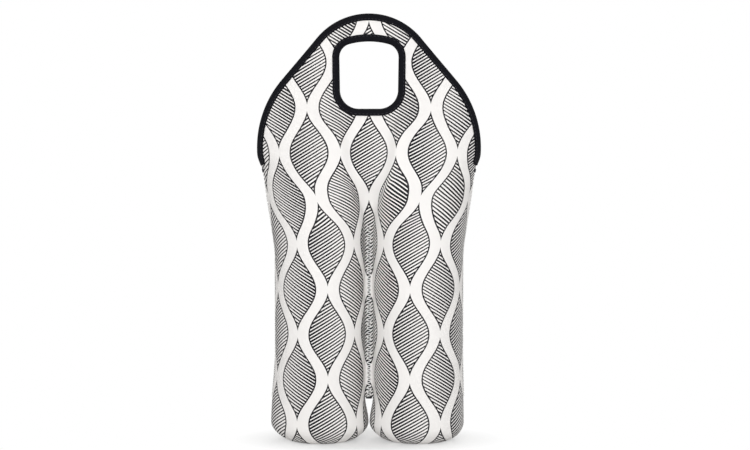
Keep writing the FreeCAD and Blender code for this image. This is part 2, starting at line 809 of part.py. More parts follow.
def check_and_export(pieces):
    """Stops on any faulty feature or shape, then writes a STEP file for each piece."""
    faulty = [item.Name for item in DOC.Objects if {"Invalid", "Error"} & set(item.State)]
    if faulty:
        raise RuntimeError(f"features that did not compute: {', '.join(faulty)}")
    for piece in pieces:
        if piece.Shape.isNull() or not piece.Shape.isValid() or len(piece.Shape.Solids) != 1:
            raise RuntimeError(f"{piece.Label} is not one valid solid")
    os.makedirs("parts", exist_ok=True)
    for piece in pieces:
        piece.Shape.exportStep(f"parts/{piece.Label}.step")


PIECES = make_front() + make_right() + [make_crotch_tack()]
DOC.recompute()
check_and_export(PIECES)
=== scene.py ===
"""Dresses the two-bottle carrier: printed neoprene panels, black binding tape, sewn seams and tacks.

The CAD frame gives the bodies and joints. Every piece here is made in metres in the same frame: +Z up,
+X to the right, the front faces -Y and the origin is on the floor between the two feet.
"""

import logging
import math
from dataclasses import dataclass, field
from enum import Enum
from functools import cached_property, lru_cache
from typing import Callable

import bmesh
import bpy
from mathutils import Matrix, Vector, noise


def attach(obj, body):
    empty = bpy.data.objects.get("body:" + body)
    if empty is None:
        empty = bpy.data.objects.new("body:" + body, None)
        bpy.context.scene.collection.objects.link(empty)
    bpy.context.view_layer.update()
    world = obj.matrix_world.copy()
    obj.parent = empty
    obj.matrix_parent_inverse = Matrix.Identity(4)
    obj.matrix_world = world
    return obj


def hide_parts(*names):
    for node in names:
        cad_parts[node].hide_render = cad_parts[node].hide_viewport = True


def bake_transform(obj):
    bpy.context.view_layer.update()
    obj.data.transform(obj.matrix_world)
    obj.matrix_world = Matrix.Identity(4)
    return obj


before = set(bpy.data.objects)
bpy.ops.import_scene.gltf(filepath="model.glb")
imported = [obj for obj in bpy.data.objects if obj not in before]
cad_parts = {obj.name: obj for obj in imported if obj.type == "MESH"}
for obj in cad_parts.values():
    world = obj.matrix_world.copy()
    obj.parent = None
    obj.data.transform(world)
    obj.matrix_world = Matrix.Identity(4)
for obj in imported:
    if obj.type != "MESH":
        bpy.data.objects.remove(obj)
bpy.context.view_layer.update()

LOG = logging.getLogger("bottle_carrier")

# Points that are closer than this are one point.
WELD = 1e-5

Point2 = tuple[float, float]
Colour = tuple[float, float, float, float]
WHITE: Colour = (1.0, 1.0, 1.0, 1.0)

# A point of an outline, and the direction that leads out of the outline there.
EdgePoint = tuple[Point2, Point2]


class Half(Enum):
    """A half of the carrier, whose value is the sign of its outward direction."""

    @property
    def prefix(self) -> str:
        """The word that starts the names of this half's nodes and pieces."""
        return self.name.lower()


class Side(Half):
    """The front and the back half, which face along Y."""

    FRONT = -1
    BACK = 1


class Flank(Half):
    """The left and the right half, which face along X."""

    LEFT = -1
    RIGHT = 1


class Body(Enum):
    """The CAD bodies that the pieces ride on."""

    SLEEVES = "sleeves"
    FRONT_FLAP = "front_flap"
    BACK_FLAP = "back_flap"


def smooth_step(low: float, high: float, number: float) -> float:
    """Eases from 0 to 1 between two limits.

    Args:
        low: The limit at which the result is 0.
        high: The limit at which the result is 1.
        number: Where to read the curve.

    Returns:
        A number from 0 to 1.
    """
    share = min(max((number - low) / (high - low), 0.0), 1.0)
    return share * share * (3 - 2 * share)


# Shape of a panel


@dataclass(frozen=True)
class Track:
    """A size that changes with height, as a smooth line through its stations that never overshoots."""

    heights: tuple[float, ...]
    values: tuple[float, ...]

    @cached_property
    def slopes(self) -> list[float]:
        """The slope at each station.

        Returns:
            One slope for each station, flat wherever the size turns back or stays level.
        """
        steps = [
            (self.values[i + 1] - self.values[i]) / (self.heights[i + 1] - self.heights[i])
            for i in range(len(self.heights) - 1)
        ]
        inner = [0.0 if a * b <= 0 else 2 * a * b / (a + b) for a, b in zip(steps, steps[1:])]
        return [steps[0], *inner, steps[-1]]

    def at(self, height: float) -> float:
        """Reads the size at a height.

        Args:
            height: Height above the floor; beyond the stations the end value holds.

        Returns:
            The size there.
        """
        if height <= self.heights[0]:
            return self.values[0]
        if height >= self.heights[-1]:
            return self.values[-1]
        i = max(k for k, station in enumerate(self.heights) if station <= height)
        run = self.heights[i + 1] - self.heights[i]
        t = (height - self.heights[i]) / run
        return (
            (1 + 2 * t) * (1 - t) ** 2 * self.values[i]
            + t * (1 - t) ** 2 * run * self.slopes[i]
            + t * t * (3 - 2 * t) * self.values[i + 1]
            + t * t * (t - 1) * run * self.slopes[i + 1]
        )


@dataclass(frozen=True)
class Section:
    """A level section of a panel's outer face: two round lobes with a valley between them.

    Outward distances are measured from the plane where the two panels meet.
    """

    half_width: float
    centre: float
    edge: float
    depth: float
    valley: float

    @cached_property
    def lobe_radius(self) -> float:
        """Radius of a lobe."""
        bow = self.depth - self.edge
        return ((self.half_width - self.centre) ** 2 + bow**2) / (2 * bow)

    @cached_property
    def lobe_out(self) -> float:
        """Outward distance of a lobe's centre."""
        return self.depth - self.lobe_radius

    @cached_property
    def valley_radius(self) -> float:
        """Radius of the valley."""
        drop = self.valley - self.lobe_out
        return (self.centre**2 + drop**2 - self.lobe_radius**2) / (2 * (self.depth - self.valley))

    @cached_property
    def valley_out(self) -> float:
        """Outward distance of the valley's centre."""
        return self.valley + self.valley_radius

    @cached_property
    def edge_angle(self) -> float:
        """Angle on the lobe at the side edge, from +X towards the outside."""
        return math.asin((self.edge - self.lobe_out) / self.lobe_radius)

    @cached_property
    def meet_angle(self) -> float:
        """Angle on the lobe where the valley takes over."""
        return math.atan2(self.valley_out - self.lobe_out, -self.centre)

    @cached_property
    def span(self) -> float:
        """Angle that half of the valley covers."""
        return math.atan2(self.centre, self.valley_out - self.lobe_out)

    @cached_property
    def meet_x(self) -> float:
        """Distance from the middle at which the valley takes over."""
        return self.centre + self.lobe_radius * math.cos(self.meet_angle)

    def on_lobe(self, angle: float) -> Point2:
        """The point at an angle on the right lobe, as X and outward distance."""
        reach = self.lobe_radius
        return self.centre + reach * math.cos(angle), self.lobe_out + reach * math.sin(angle)

    def on_valley(self, share: float) -> Point2:
        """The point a share of the way from the middle to the right lobe, as X and outward distance."""
        turned = share * self.span
        return (
            self.valley_radius * math.sin(turned),
            self.valley_out - self.valley_radius * math.cos(turned),
        )

    def along(self, length: float) -> Point2:
        """The point at a length along the right half of the face.

        Args:
            length: Length from the middle.

        Returns:
            The point as X and outward distance.
        """
        valley = self.valley_radius * self.span
        if length <= valley:
            return self.on_valley(length / valley)
        return self.on_lobe(self.meet_angle - (length - valley) / self.lobe_radius)

    def beside_edge(self, across: float, lift: float) -> float:
        """X of a point at a distance to either side of the side seam, lifted off the lobe."""
        angle = self.edge_angle + abs(across) / self.lobe_radius
        return self.centre + (self.lobe_radius + lift) * math.cos(angle)

    def outward(self, x: float) -> float:
        """Outward distance of the face at an X where it is single.

        Args:
            x: Place across the panel, on either side of the middle.

        Returns:
            The outward distance.
        """
        across = abs(x)
        if across < self.meet_x:
            return self.valley_out - math.sqrt(self.valley_radius**2 - across**2)
        inside = max(self.lobe_radius**2 - (across - self.centre) ** 2, 0.0)
        return self.lobe_out + math.sqrt(inside)

    def girth(self, x: float, out: float) -> float:
        """Length along the face from the middle to a point on it.

        Args:
            x: Place across the panel.
            out: Outward distance of the point.

        Returns:
            The length, with the sign of x.
        """
        across = abs(x)
        if across < self.meet_x and out < self.valley_out:
            length = self.valley_radius * math.asin(min(across / self.valley_radius, 1.0))
        else:
            angle = math.atan2(out - self.lobe_out, across - self.centre)
            length = self.valley_radius * self.span + self.lobe_radius * (self.meet_angle - angle)
        return math.copysign(length, x)


STATIONS = (0.039, 0.165, 0.194, 0.220, 0.245, 0.262, 0.292, 0.330, 0.362, 0.420)


@dataclass(frozen=True, eq=False)
class PanelForm:
    """The outer face of the front panel from the crotch to the crown, and how it swells and bends."""

    sheet: float = 0.003
    seam_gap: float = 0.00015
    crotch: float = 0.039
    fold: float = 0.245
    base_corner: float = 0.016
    front_swell: float = 0.0015
    left_swell: float = 0.0042
    right_swell: float = 0.0014
    inner_swell: float = 0.0031
    swell_start: float = 0.2
    swell_top: float = 0.085
    bend_low_out: float = 0.030
    bend_high_out: float = 0.020
    bend_rise: float = 0.048
    probe: float = 0.0004
    half_width: Track = Track(
        STATIONS, (0.08442, 0.08442, 0.08772, 0.09212, 0.09582, 0.10252, 0.10252, 0.10252, 0.10252, 0.10252)
    )
    centre: Track = Track(
        STATIONS, (0.04392, 0.04392, 0.04557, 0.04777, 0.04962, 0.04962, 0.04962, 0.04962, 0.04962, 0.04962)
    )
    edge: Track = Track(STATIONS, (0.0, 0.0, 0.0, 0.0, 0.0, 0.0025, 0.006, 0.006, 0.0044, 0.0044))
    depth: Track = Track(
        STATIONS, (0.0405, 0.0405, 0.0400, 0.0365, 0.0310, 0.0270, 0.0195, 0.0098, 0.0050, 0.0050)
    )
    valley: Track = Track(
        STATIONS, (0.00315, 0.00315, 0.0036, 0.0140, 0.0230, 0.0215, 0.0170, 0.0093, 0.00485, 0.00485)
    )

    @lru_cache(maxsize=20000)
    def section(self, height: float) -> Section:
        """The level section at a height."""
        tracks = (self.half_width, self.centre, self.edge, self.depth, self.valley)
        return Section(*(track.at(height) for track in tracks))

    def swell(self, x: float, height: float) -> float:
        """How far a filled foot stands out from the straight sleeve.

        Args:
            x: Place across the panel.
            height: Height above the floor.

        Returns:
            The swell, greatest just above the rounded base.
        """
        section = self.section(self.crotch)
        across = (abs(x) - section.centre) / section.lobe_radius
        outer, inner = (smooth_step(self.swell_start, 1.0, sign * across) for sign in (1, -1))
        flank = self.right_swell if x > 0 else self.left_swell
        free = 1 - smooth_step(self.base_corner, self.swell_top, height)
        parted = 1 - smooth_step(self.base_corner, self.crotch, height)
        front = (1 - outer - inner) * self.front_swell
        whole = free * (outer * flank + front) + parted * inner * self.inner_swell
        return whole * smooth_step(0.0, self.base_corner, height)

    def point(self, x: float, height: float, lift: float = 0.0) -> Vector:
        """A point on the front panel's face, or lifted off it.

        Args:
            x: Place across the panel.
            height: Height above the floor.
            lift: Distance off the face, outward.

        Returns:
            The point, in the object's frame.
        """
        spot = Vector((x, -self.section(height).outward(x), height))
        return spot + lift * self.normal(x, height) if lift else spot

    def normal(self, x: float, height: float) -> Vector:
        """The outward normal of the front panel's face.

        Args:
            x: Place across the panel.
            height: Height above the floor.

        Returns:
            A unit vector.
        """
        step = self.probe
        here = self.section(height)
        slope_x = (here.outward(x + step) - here.outward(x - step)) / (2 * step)
        above, below = self.section(height + step), self.section(height - step)
        slope_z = (above.outward(x) - below.outward(x)) / (2 * step)
        return Vector((-slope_x, -1.0, -slope_z)).normalized()


FORM = PanelForm()


@dataclass(frozen=True)
class Arc:
    """A run of an outline round a centre, anticlockwise as seen from the front."""

    centre: Point2
    radius: float
    start: float
    end: float

    @property
    def length(self) -> float:
        """Length of the run."""
        return self.radius * (self.end - self.start)

    def at(self, distance: float) -> EdgePoint:
        """Reads the run.

        Args:
            distance: Distance from the start of the run.

        Returns:
            The point as X and height, and the direction that leads out of the outline.
        """
        angle = self.start + distance / self.radius
        out = (math.cos(angle), math.sin(angle))
        return (self.centre[0] + self.radius * out[0], self.centre[1] + self.radius * out[1]), out


@dataclass(frozen=True)
class Line:
    """A straight run of an outline."""

    start: Point2
    end: Point2

    @property
    def length(self) -> float:
        """Length of the run."""
        return math.dist(self.start, self.end)

    def at(self, distance: float) -> EdgePoint:
        """The point at a distance along the run, and the direction that leads out of the outline."""
        run = ((self.end[0] - self.start[0]) / self.length, (self.end[1] - self.start[1]) / self.length)
        return (self.start[0] + distance * run[0], self.start[1] + distance * run[1]), (run[1], -run[0])


def shared_angle(low: Point2, low_radius: float, high: Point2, high_radius: float) -> float:
    """The direction, seen from their centres, in which one line touches two circles on their right.

    Args:
        low: Centre of the first circle.
        low_radius: Its radius.
        high: Centre of the second circle.
        high_radius: Its radius.

    Returns:
        The direction as an angle.
    """
    run = math.atan2(high[1] - low[1], high[0] - low[0])
    return run - math.acos((low_radius - high_radius) / math.dist(low, high))


class Outline:
    """A line in the XZ plane that is the same on both sides of X = 0.

    It is described by its right half, in order going anticlockwise as seen from the front.
    """

    def __init__(self, runs: list[Arc | Line]) -> None:
        """Keeps the runs of the right half."""
        self.runs = runs
        self.half = sum(run.length for run in runs)

    def at(self, distance: float) -> EdgePoint:
        """Reads the outline at a distance from its start.

        Args:
            distance: Distance along the right half and then back along the left one.

        Returns:
            The point as X and height, and the direction that leads out of the outline.
        """
        if distance > self.half:
            (x, z), (out_x, out_z) = self.at(2 * self.half - distance)
            return (-x, z), (-out_x, out_z)
        for run in self.runs[:-1]:
            if distance <= run.length:
                return run.at(distance)
            distance -= run.length
        return self.runs[-1].at(distance)


class FlapEdge(Outline):
    """The arched free edge of a flap, from the fold line on the right over the crown."""

    widest: Point2 = (0.09962, 0.263)
    shoulder_radius: float = 0.09401
    crown_radius: float = 0.05947
    crown: float = 0.3826
    ease_height: float = 0.013

    def __init__(self) -> None:
        """Works out the shoulder, the flank and the crown."""
        shoulder = (self.widest[0] - self.shoulder_radius, self.widest[1])
        top = (0.0, self.crown - self.crown_radius)
        turn = shared_angle(shoulder, self.shoulder_radius, top, self.crown_radius)
        toe = math.asin((FORM.fold - self.widest[1]) / self.shoulder_radius)
        bend = Arc(shoulder, self.shoulder_radius, toe, turn)
        arch = Arc(top, self.crown_radius, turn, math.pi / 2)
        super().__init__([bend, Line(bend.at(bend.length)[0], arch.at(0)[0]), arch])
        self.ease = bend.at(0)[0][0] - FORM.section(FORM.fold).half_width

    def at(self, distance: float) -> EdgePoint:
        """Reads the edge, which runs smoothly into the side seam at the fold line.

        Args:
            distance: Distance from the fold line on the right.

        Returns:
            The point as X and height, and the direction that leads out of the outline.
        """
        (x, z), out = super().at(distance)
        if distance > self.half:
            return (x, z), out
        return (x - self.ease * (1 - smooth_step(0, self.ease_height, z - FORM.fold)), z), out


class HandleHole(Outline):
    """The rounded handle hole, from the middle of its foot round to the right."""

    bottom: float = 0.2979
    top: float = 0.360
    bottom_half_width: float = 0.0272
    top_half_width: float = 0.0276
    bottom_corner: float = 0.018
    top_corner: float = 0.013
    top_radius: float = 0.070

    def __init__(self) -> None:
        """Works out the foot, the corners, the sides and the domed top."""
        low = (self.bottom_half_width - self.bottom_corner, self.bottom + self.bottom_corner)
        dome = (0.0, self.top - self.top_radius)
        high_x = self.top_half_width - self.top_corner
        high = (high_x, dome[1] + math.sqrt((self.top_radius - self.top_corner) ** 2 - high_x**2))
        turn = shared_angle(low, self.bottom_corner, high, self.top_corner)
        spring = math.atan2(high[1] - dome[1], high[0])
        corner = Arc(low, self.bottom_corner, -math.pi / 2, turn)
        shoulder = Arc(high, self.top_corner, turn, spring)
        super().__init__(
            [
                Line((0.0, self.bottom), corner.at(0)[0]),
                corner,
                Line(corner.at(corner.length)[0], shoulder.at(0)[0]),
                shoulder,
                Arc(dome, self.top_radius, spring, math.pi / 2),
            ]
        )

    def towards(self, angle: float, middle: Point2, samples: int = 360) -> Point2:
        """Where a ray from inside the hole meets its right half.

        Args:
            angle: Direction of the ray.
            middle: Where the ray starts, on X = 0.
            samples: How finely the hole is searched.

        Returns:
            The point as X and height.
        """
        spots = self.spots(samples)
        angles = [math.atan2(z - middle[1], x) for x, z in spots]
        for (a, b), (p, q) in zip(zip(angles, angles[1:]), zip(spots, spots[1:])):
            if angle <= b:
                share = (angle - a) / (b - a) if b > a else 0.0
                return p[0] + share * (q[0] - p[0]), p[1] + share * (q[1] - p[1])
        return spots[-1]

    @lru_cache(maxsize=4)
    def spots(self, samples: int) -> list[Point2]:
        """Points spaced evenly along the right half."""
        return [self.at(self.half * i / samples)[0] for i in range(samples + 1)]


EDGE = FlapEdge()
HOLE = HandleHole()


# Shader maths


class Number:
    """A number socket of a material, on which Python's operators add Math nodes."""

    def __init__(self, graph: "Graph", socket: bpy.types.NodeSocket) -> None:
        """Keeps the socket and the graph that it belongs to."""
        self.graph = graph
        self.socket = socket

    def math(self, operation: str, *others: "Number | float", flipped: bool = False) -> "Number":
        """Adds one Math node.

        Args:
            operation: The node's operation.
            others: What this number is combined with.
            flipped: Whether this number is the second operand.

        Returns:
            The node's result.
        """
        operands = [*others, self] if flipped else [self, *others]
        return self.graph.number("ShaderNodeMath", {"operation": operation}, dict(enumerate(operands)))

    def __add__(self, other: "Number | float") -> "Number":
        """This plus another."""
        return self.math("ADD", other)

    __radd__ = __add__

    def __sub__(self, other: "Number | float") -> "Number":
        """This less another."""
        return self.math("SUBTRACT", other)

    def __rsub__(self, other: float) -> "Number":
        """Another less this."""
        return self.math("SUBTRACT", other, flipped=True)

    def __mul__(self, other: "Number | float") -> "Number":
        """This times another."""
        return self.math("MULTIPLY", other)

    __rmul__ = __mul__

    def __truediv__(self, other: "Number | float") -> "Number":
        """This divided by another."""
        return self.math("DIVIDE", other)

    def __rtruediv__(self, other: float) -> "Number":
        """Another divided by this."""
        return self.math("DIVIDE", other, flipped=True)

    def __lt__(self, other: "Number | float") -> "Number":
        """1 where this is less than another."""
        return self.math("LESS_THAN", other)

    def __gt__(self, other: "Number | float") -> "Number":
        """1 where this is more than another."""
        return self.math("GREATER_THAN", other)

    def __abs__(self) -> "Number":
        """This without its sign."""
        return self.math("ABSOLUTE")

    def floor(self) -> "Number":
        """The whole number below this."""
        return self.math("FLOOR")

    def root(self) -> "Number":
        """The square root of this."""
        return self.math("SQRT")

    def sine(self) -> "Number":
        """The sine of this."""
        return self.math("SINE")

    def cosine(self) -> "Number":
        """The cosine of this."""
        return self.math("COSINE")

    def most(self, other: "Number | float") -> "Number":
        """The larger of this and another."""
        return self.math("MAXIMUM", other)

    def least(self, other: "Number | float") -> "Number":
        """The smaller of this and another."""
        return self.math("MINIMUM", other)

    def wrapped(self, length: float) -> "Number":
        """This within a repeat of a length, from minus half of it to half of it."""
        return self - (self / length + 0.5).floor() * length

    def wave(self, length: float) -> "Number":
        """A wave of a length, from -1 to 1."""
        return (self * (math.tau / length)).sine()


Input = Number | bpy.types.NodeSocket | float | tuple


class Graph:
    """The node tree of a material or of the world."""

    # Sockets of a Mix node that blends colours.
    MIX_SHARE = 0
    MIX_LOW = 6
    MIX_HIGH = 7
    MIX_RESULT = 2

    def __init__(self, owner: bpy.types.Material | bpy.types.World) -> None:
        """Empties the owner's tree and keeps it.

        Args:
            owner: The material or the world.
        """
        owner.use_nodes = True
        self.owner = owner
        self.tree = owner.node_tree
        self.tree.nodes.clear()

    @classmethod
    def of_material(cls, name: str) -> "Graph":
        """The empty tree of a new material."""
        return cls(bpy.data.materials.new(name))

    def node(self, kind: str, settings: dict | None = None, inputs: dict | None = None) -> bpy.types.Node:
        """Adds a node.

        Args:
            kind: The node's type.
            settings: Its properties, set first.
            inputs: Values or links for its input sockets, by name or number.

        Returns:
            The node.
        """
        made = self.tree.nodes.new(kind)
        for name, setting in (settings or {}).items():
            setattr(made, name, setting)
        for name, given in (inputs or {}).items():
            source = given.socket if isinstance(given, Number) else given
            if isinstance(source, bpy.types.NodeSocket):
                self.tree.links.new(source, made.inputs[name])
            else:
                made.inputs[name].default_value = source
        return made

    def number(self, kind: str, settings: dict | None = None, inputs: dict | None = None) -> Number:
        """Adds a node and reads its first output as a number."""
        return Number(self, self.node(kind, settings, inputs).outputs[0])

    def parts(self, vector: bpy.types.NodeSocket) -> list[Number]:
        """The three parts of a vector."""
        split = self.node("ShaderNodeSeparateXYZ", {}, {0: vector})
        return [Number(self, part) for part in split.outputs]

    def uv(self) -> list[Number]:
        """The two lengths of the piece's own UV map, in metres."""
        return self.parts(self.node("ShaderNodeUVMap").outputs["UV"])[:2]

    def place(self) -> bpy.types.NodeSocket:
        """The Object coordinates, in metres."""
        return self.node("ShaderNodeTexCoord").outputs["Object"]

    def grain(self, scale: float) -> Number:
        """Soft noise about 0.5 on Object coordinates, with a number of grains to a metre."""
        return self.number("ShaderNodeTexNoise", {}, {"Vector": self.place(), "Scale": scale})

    def mix(self, share: Number, low: Input, high: Input) -> bpy.types.NodeSocket:
        """Blends two colours.

        Args:
            share: How much of the second shows.
            low: The first colour.
            high: The second colour.

        Returns:
            The blended colour's socket.
        """
        inputs = {self.MIX_SHARE: share, self.MIX_LOW: low, self.MIX_HIGH: high}
        return self.node("ShaderNodeMix", {"data_type": "RGBA"}, inputs).outputs[self.MIX_RESULT]

    def bump(self, height: Number, distance: float, strength: float) -> bpy.types.NodeSocket:
        """Turns a height into a normal."""
        inputs = {"Height": height, "Distance": distance, "Strength": strength}
        return self.node("ShaderNodeBump", {}, inputs).outputs["Normal"]

    def surface(self, inputs: dict[str, Input]) -> bpy.types.Material:
        """Ends the material in a Principled shader.

        Args:
            inputs: The shader's sockets.

        Returns:
            The material.
        """
        shader = self.node("ShaderNodeBsdfPrincipled", {}, inputs)
        self.node("ShaderNodeOutputMaterial", {}, {"Surface": shader.outputs[0]})
        return self.owner

    def seen(self) -> Number:
        """Tells what is looked at from what only lights.

        Returns:
            1 for what is seen straight, in a gloss or through glass, and 0 for the rest.
        """
        rays = self.node("ShaderNodeLightPath").outputs
        straight, gloss, glass = (
            Number(self, rays[f"Is {kind} Ray"]) for kind in ("Camera", "Glossy", "Transmission")
        )
        return straight.most(gloss).most(glass)


# Finishes


# What a finish shows: its colour, its roughness and the height of its relief.
Look = tuple[bpy.types.NodeSocket, Number, Number]


def knit_loops(u: Number, v: Number, wale: float, course: float) -> Number:
    """The relief of a knit face, from the widths of its wales and its courses."""
    return u.wave(wale) * v.wave(course)


@dataclass(frozen=True)
class Finish:
    """What all finishes have: two tones in soft clouds, dullness, sheen and a fine relief."""

    name: str
    tone: Colour
    second_tone: Colour
    cloud_scale: float
    roughness: float
    roughness_spread: float
    specular: float
    relief: float
    relief_strength: float = 0.5
    sheen: float = 0.0
    sheen_roughness: float = 0.5

    def look(self, g: Graph, cloud: Number) -> Look:
        """The finish in plain clouds of its two tones, with no relief of its own.

        Args:
            g: The material's graph.
            cloud: Soft noise about 0.5.

        Returns:
            The colour, the roughness and the height of the relief.
        """
        return g.mix(cloud, self.tone, self.second_tone), self.dullness(cloud), cloud

    def dullness(self, cloud: Number) -> Number:
        """The roughness, which varies a little with the clouds."""
        return self.roughness + (cloud - 0.5) * self.roughness_spread

    def make(self) -> bpy.types.Material:
        """Builds the material.

        Returns:
            The material.
        """
        g = Graph.of_material(self.name)
        colour, roughness, height = self.look(g, g.grain(self.cloud_scale))
        return g.surface(
            {
                "Base Color": colour,
                "Roughness": roughness,
                "Specular IOR Level": self.specular,
                "Sheen Weight": self.sheen,
                "Sheen Roughness": self.sheen_roughness,
                "Normal": g.bump(height, self.relief, self.relief_strength),
            }
        )


@dataclass(frozen=True)
class PrintedNeoprene(Finish):
    """Off-white knit face of the neoprene, printed with an ogee pattern in black hatching, with painted
    shade down the centre seam.
    """

    name: str = "printed_neoprene"
    tone: Colour = (0.897, 0.875, 0.853, 1.0)
    second_tone: Colour = (0.815, 0.802, 0.805, 1.0)
    cloud_scale: float = 55.0
    cloud_share: float = 0.45
    roughness: float = 0.86
    roughness_spread: float = 0.08
    specular: float = 0.14
    sheen: float = 0.03
    sheen_roughness: float = 0.55
    relief: float = 0.00016
    relief_strength: float = 0.45
    ink: Colour = (0.007, 0.007, 0.010, 1.0)
    ink_cover: float = 0.96
    ink_spread: float = 0.06
    ink_gloss: float = 0.10
    pitch_across: float = 0.0275
    pitch_up: float = 0.080
    half_width: float = 0.0175
    trim: float = 0.0008
    outline: float = 0.0012
    hatch_pitch: float = 0.0030
    hatch_line: float = 0.0016
    hatch_swell: float = 0.3
    hatch_slope: float = 0.60
    wale: float = 0.0011
    course: float = 0.0009
    fuzz_scale: float = 420.0
    fuzz: float = 0.8
    # Painted shade: a dark line down the centre seam stands in for the shadow of its groove.
    seam_shadow_half_width: float = 0.0019
    seam_shadow_low: float = 0.0395
    seam_shadow_top: float = 0.1935
    seam_shadow_strength: float = 0.95

    def ogees(self, u: Number, v: Number, turn: int) -> Number:
        """Where the ink of every other column lies.

        Args:
            u: Length across the cloth.
            v: Length up the cloth.
            turn: Which columns, and which way their hatching leans, as 1 or -1.

        Returns:
            1 on the ink and 0 on the cloth.
        """
        x = (u + turn * self.pitch_across / 2).wrapped(2 * self.pitch_across)
        y = (v + turn * self.pitch_up / 4).wrapped(self.pitch_up)
        wave = y * (math.tau / self.pitch_up)
        lean = wave.sine() * (math.pi * self.half_width / self.pitch_up)
        reach = (wave.cosine() + 1.0) * (self.half_width / 2) - self.trim
        beyond = (abs(x) - reach) / (lean * lean + 1.0).root()
        hatch = abs((x * (turn * self.hatch_slope) + y).wrapped(self.hatch_pitch))
        swell = x * (turn * self.hatch_swell / self.half_width) + 1.0
        lines = hatch < swell * (self.hatch_line / 2)
        return (lines * (beyond < 0.0)).most(abs(beyond) < self.outline / 2)

    # Painted shade along the centre seam.
    def seam(self, g: Graph) -> Number:
        """How strong the painted shade along the centre seam is, under the zigzag, standing in for the
        shadow of its groove.

        Args:
            g: The material's graph.

        Returns:
            A number that falls to 0 at both sides of the line.
        """
        x, _, z = g.parts(g.place())
        near = (1.0 - abs(x) / self.seam_shadow_half_width).most(0.0)
        return near * (z > self.seam_shadow_low) * (z < self.seam_shadow_top) * self.seam_shadow_strength

    def look(self, g: Graph, cloud: Number) -> Look:
        """The knit cloth with the print and the painted shade of the centre seam on it.

        Args:
            g: The material's graph.
            cloud: Soft noise about 0.5.

        Returns:
            The colour, the roughness and the height of the relief.
        """
        u, v = g.uv()
        ink = self.ogees(u, v, 1).most(self.ogees(u, v, -1))
        cloth = g.mix(cloud * self.cloud_share, self.tone, self.second_tone)
        # The painted shade of the seam's groove joins the ink here.
        dark = (ink * (self.ink_cover + cloud * self.ink_spread)).most(self.seam(g))
        height = knit_loops(u, v, self.wale, self.course) + g.grain(self.fuzz_scale) * self.fuzz
        return g.mix(dark, cloth, self.ink), self.dullness(cloud) - ink * self.ink_gloss, height


@dataclass(frozen=True)
class LiningJersey(Finish):
    """Charcoal jersey on the inside of the neoprene and on its cut edge."""

    name: str = "lining_jersey"
    tone: Colour = (0.020, 0.020, 0.023, 1.0)
    second_tone: Colour = (0.045, 0.045, 0.050, 1.0)
    cloud_scale: float = 260.0
    roughness: float = 0.88
    roughness_spread: float = 0.1
    specular: float = 0.2
    sheen: float = 0.15
    relief: float = 0.0002
    wale: float = 0.0012

    def look(self, g: Graph, cloud: Number) -> Look:
        """The plain knit face."""
        colour, roughness, _ = super().look(g, cloud)
        return colour, roughness, knit_loops(*g.uv(), self.wale, self.wale)


@dataclass(frozen=True)
class RibbedTape(Finish):
    """Black ribbed binding tape, a little paler in clouds where it has been handled, with painted highlight
    on the crests of its ribs.
    """

    name: str = "ribbed_tape"
    tone: Colour = (0.0035, 0.0035, 0.0055, 1.0)
    second_tone: Colour = (0.011, 0.011, 0.016, 1.0)
    cloud_scale: float = 190.0
    roughness: float = 0.76
    roughness_spread: float = 0.16
    specular: float = 0.10
    sheen: float = 0.01
    relief: float = 0.00018
    relief_strength: float = 0.55
    rib: float = 0.0010
    weave: float = 0.0007
    weave_share: float = 0.35
    pale_from: float = 0.42
    pale_gain: float = 1.1
    rib_highlight: float = 0.12

    def look(self, g: Graph, cloud: Number) -> Look:
        """Ribs across the tape and a finer weave along it, with painted highlight on the rib crests.

        Args:
            g: The material's graph.
            cloud: Soft noise about 0.5.

        Returns:
            The colour, the roughness and the height of the relief.
        """
        along, across = g.uv()
        ribs = along.wave(self.rib)
        # Painted highlight: the colour pales on the rib crests, where the relief stands highest.
        pale = (cloud - self.pale_from) * self.pale_gain + ribs * self.rib_highlight
        colour = g.mix(pale.most(0.0), self.tone, self.second_tone)
        return colour, self.dullness(cloud), ribs + across.wave(self.weave) * self.weave_share


@dataclass(frozen=True)
class SewingThread(Finish):
    """Twisted sewing thread."""

    cloud_scale: float = 900.0
    roughness: float = 0.62
    roughness_spread: float = 0.2
    specular: float = 0.35
    relief: float = 0.0001
    twist: float = 2600.0
    twist_y: float = 1.3
    twist_z: float = 1.1

    def look(self, g: Graph, cloud: Number) -> Look:
        """The thread with the twist of its plies.

        Args:
            g: The material's graph.
            cloud: Soft noise about 0.5.

        Returns:
            The colour, the roughness and the height of the relief.
        """
        colour, roughness, _ = super().look(g, cloud)
        x, y, z = g.parts(g.place())
        plies = ((x + y * self.twist_y + z * self.twist_z) * self.twist).sine()
        return colour, roughness, plies


PALE_THREAD = SewingThread("pale_thread", (0.85, 0.85, 0.84, 1.0), (0.93, 0.93, 0.92, 1.0))
DARK_THREAD = SewingThread("dark_thread", (0.006, 0.006, 0.009, 1.0), (0.030, 0.030, 0.038, 1.0))


@dataclass
class Finishes:
    """The materials of the carrier."""

    printed: bpy.types.Material = field(default_factory=PrintedNeoprene().make)
    lining: bpy.types.Material = field(default_factory=LiningJersey().make)
    tape: bpy.types.Material = field(default_factory=RibbedTape().make)
    pale_thread: bpy.types.Material = field(default_factory=PALE_THREAD.make)
    dark_thread: bpy.types.Material = field(default_factory=DARK_THREAD.make)


# Mesh tools


def add_grid(
    bm: bmesh.types.BMesh, columns: int, rows: int, place: Callable[[int, int], Vector]
) -> list[bmesh.types.BMVert]:
    """Adds a grid and moves each of its points to its place.

    Args:
        bm: The mesh under construction.
        columns: How many faces the grid has across.
        rows: How many faces it has up.
        place: Gives a point's place from its column and row.

    Returns:
        The grid's points.
    """
    made = bmesh.ops.create_grid(bm, x_segments=columns, y_segments=rows, size=1.0)["verts"]
    for vert in made:
        column = round((vert.co.x + 1) / 2 * columns)
        row = round((vert.co.y + 1) / 2 * rows)
        vert.co = place(column, row)
    return made


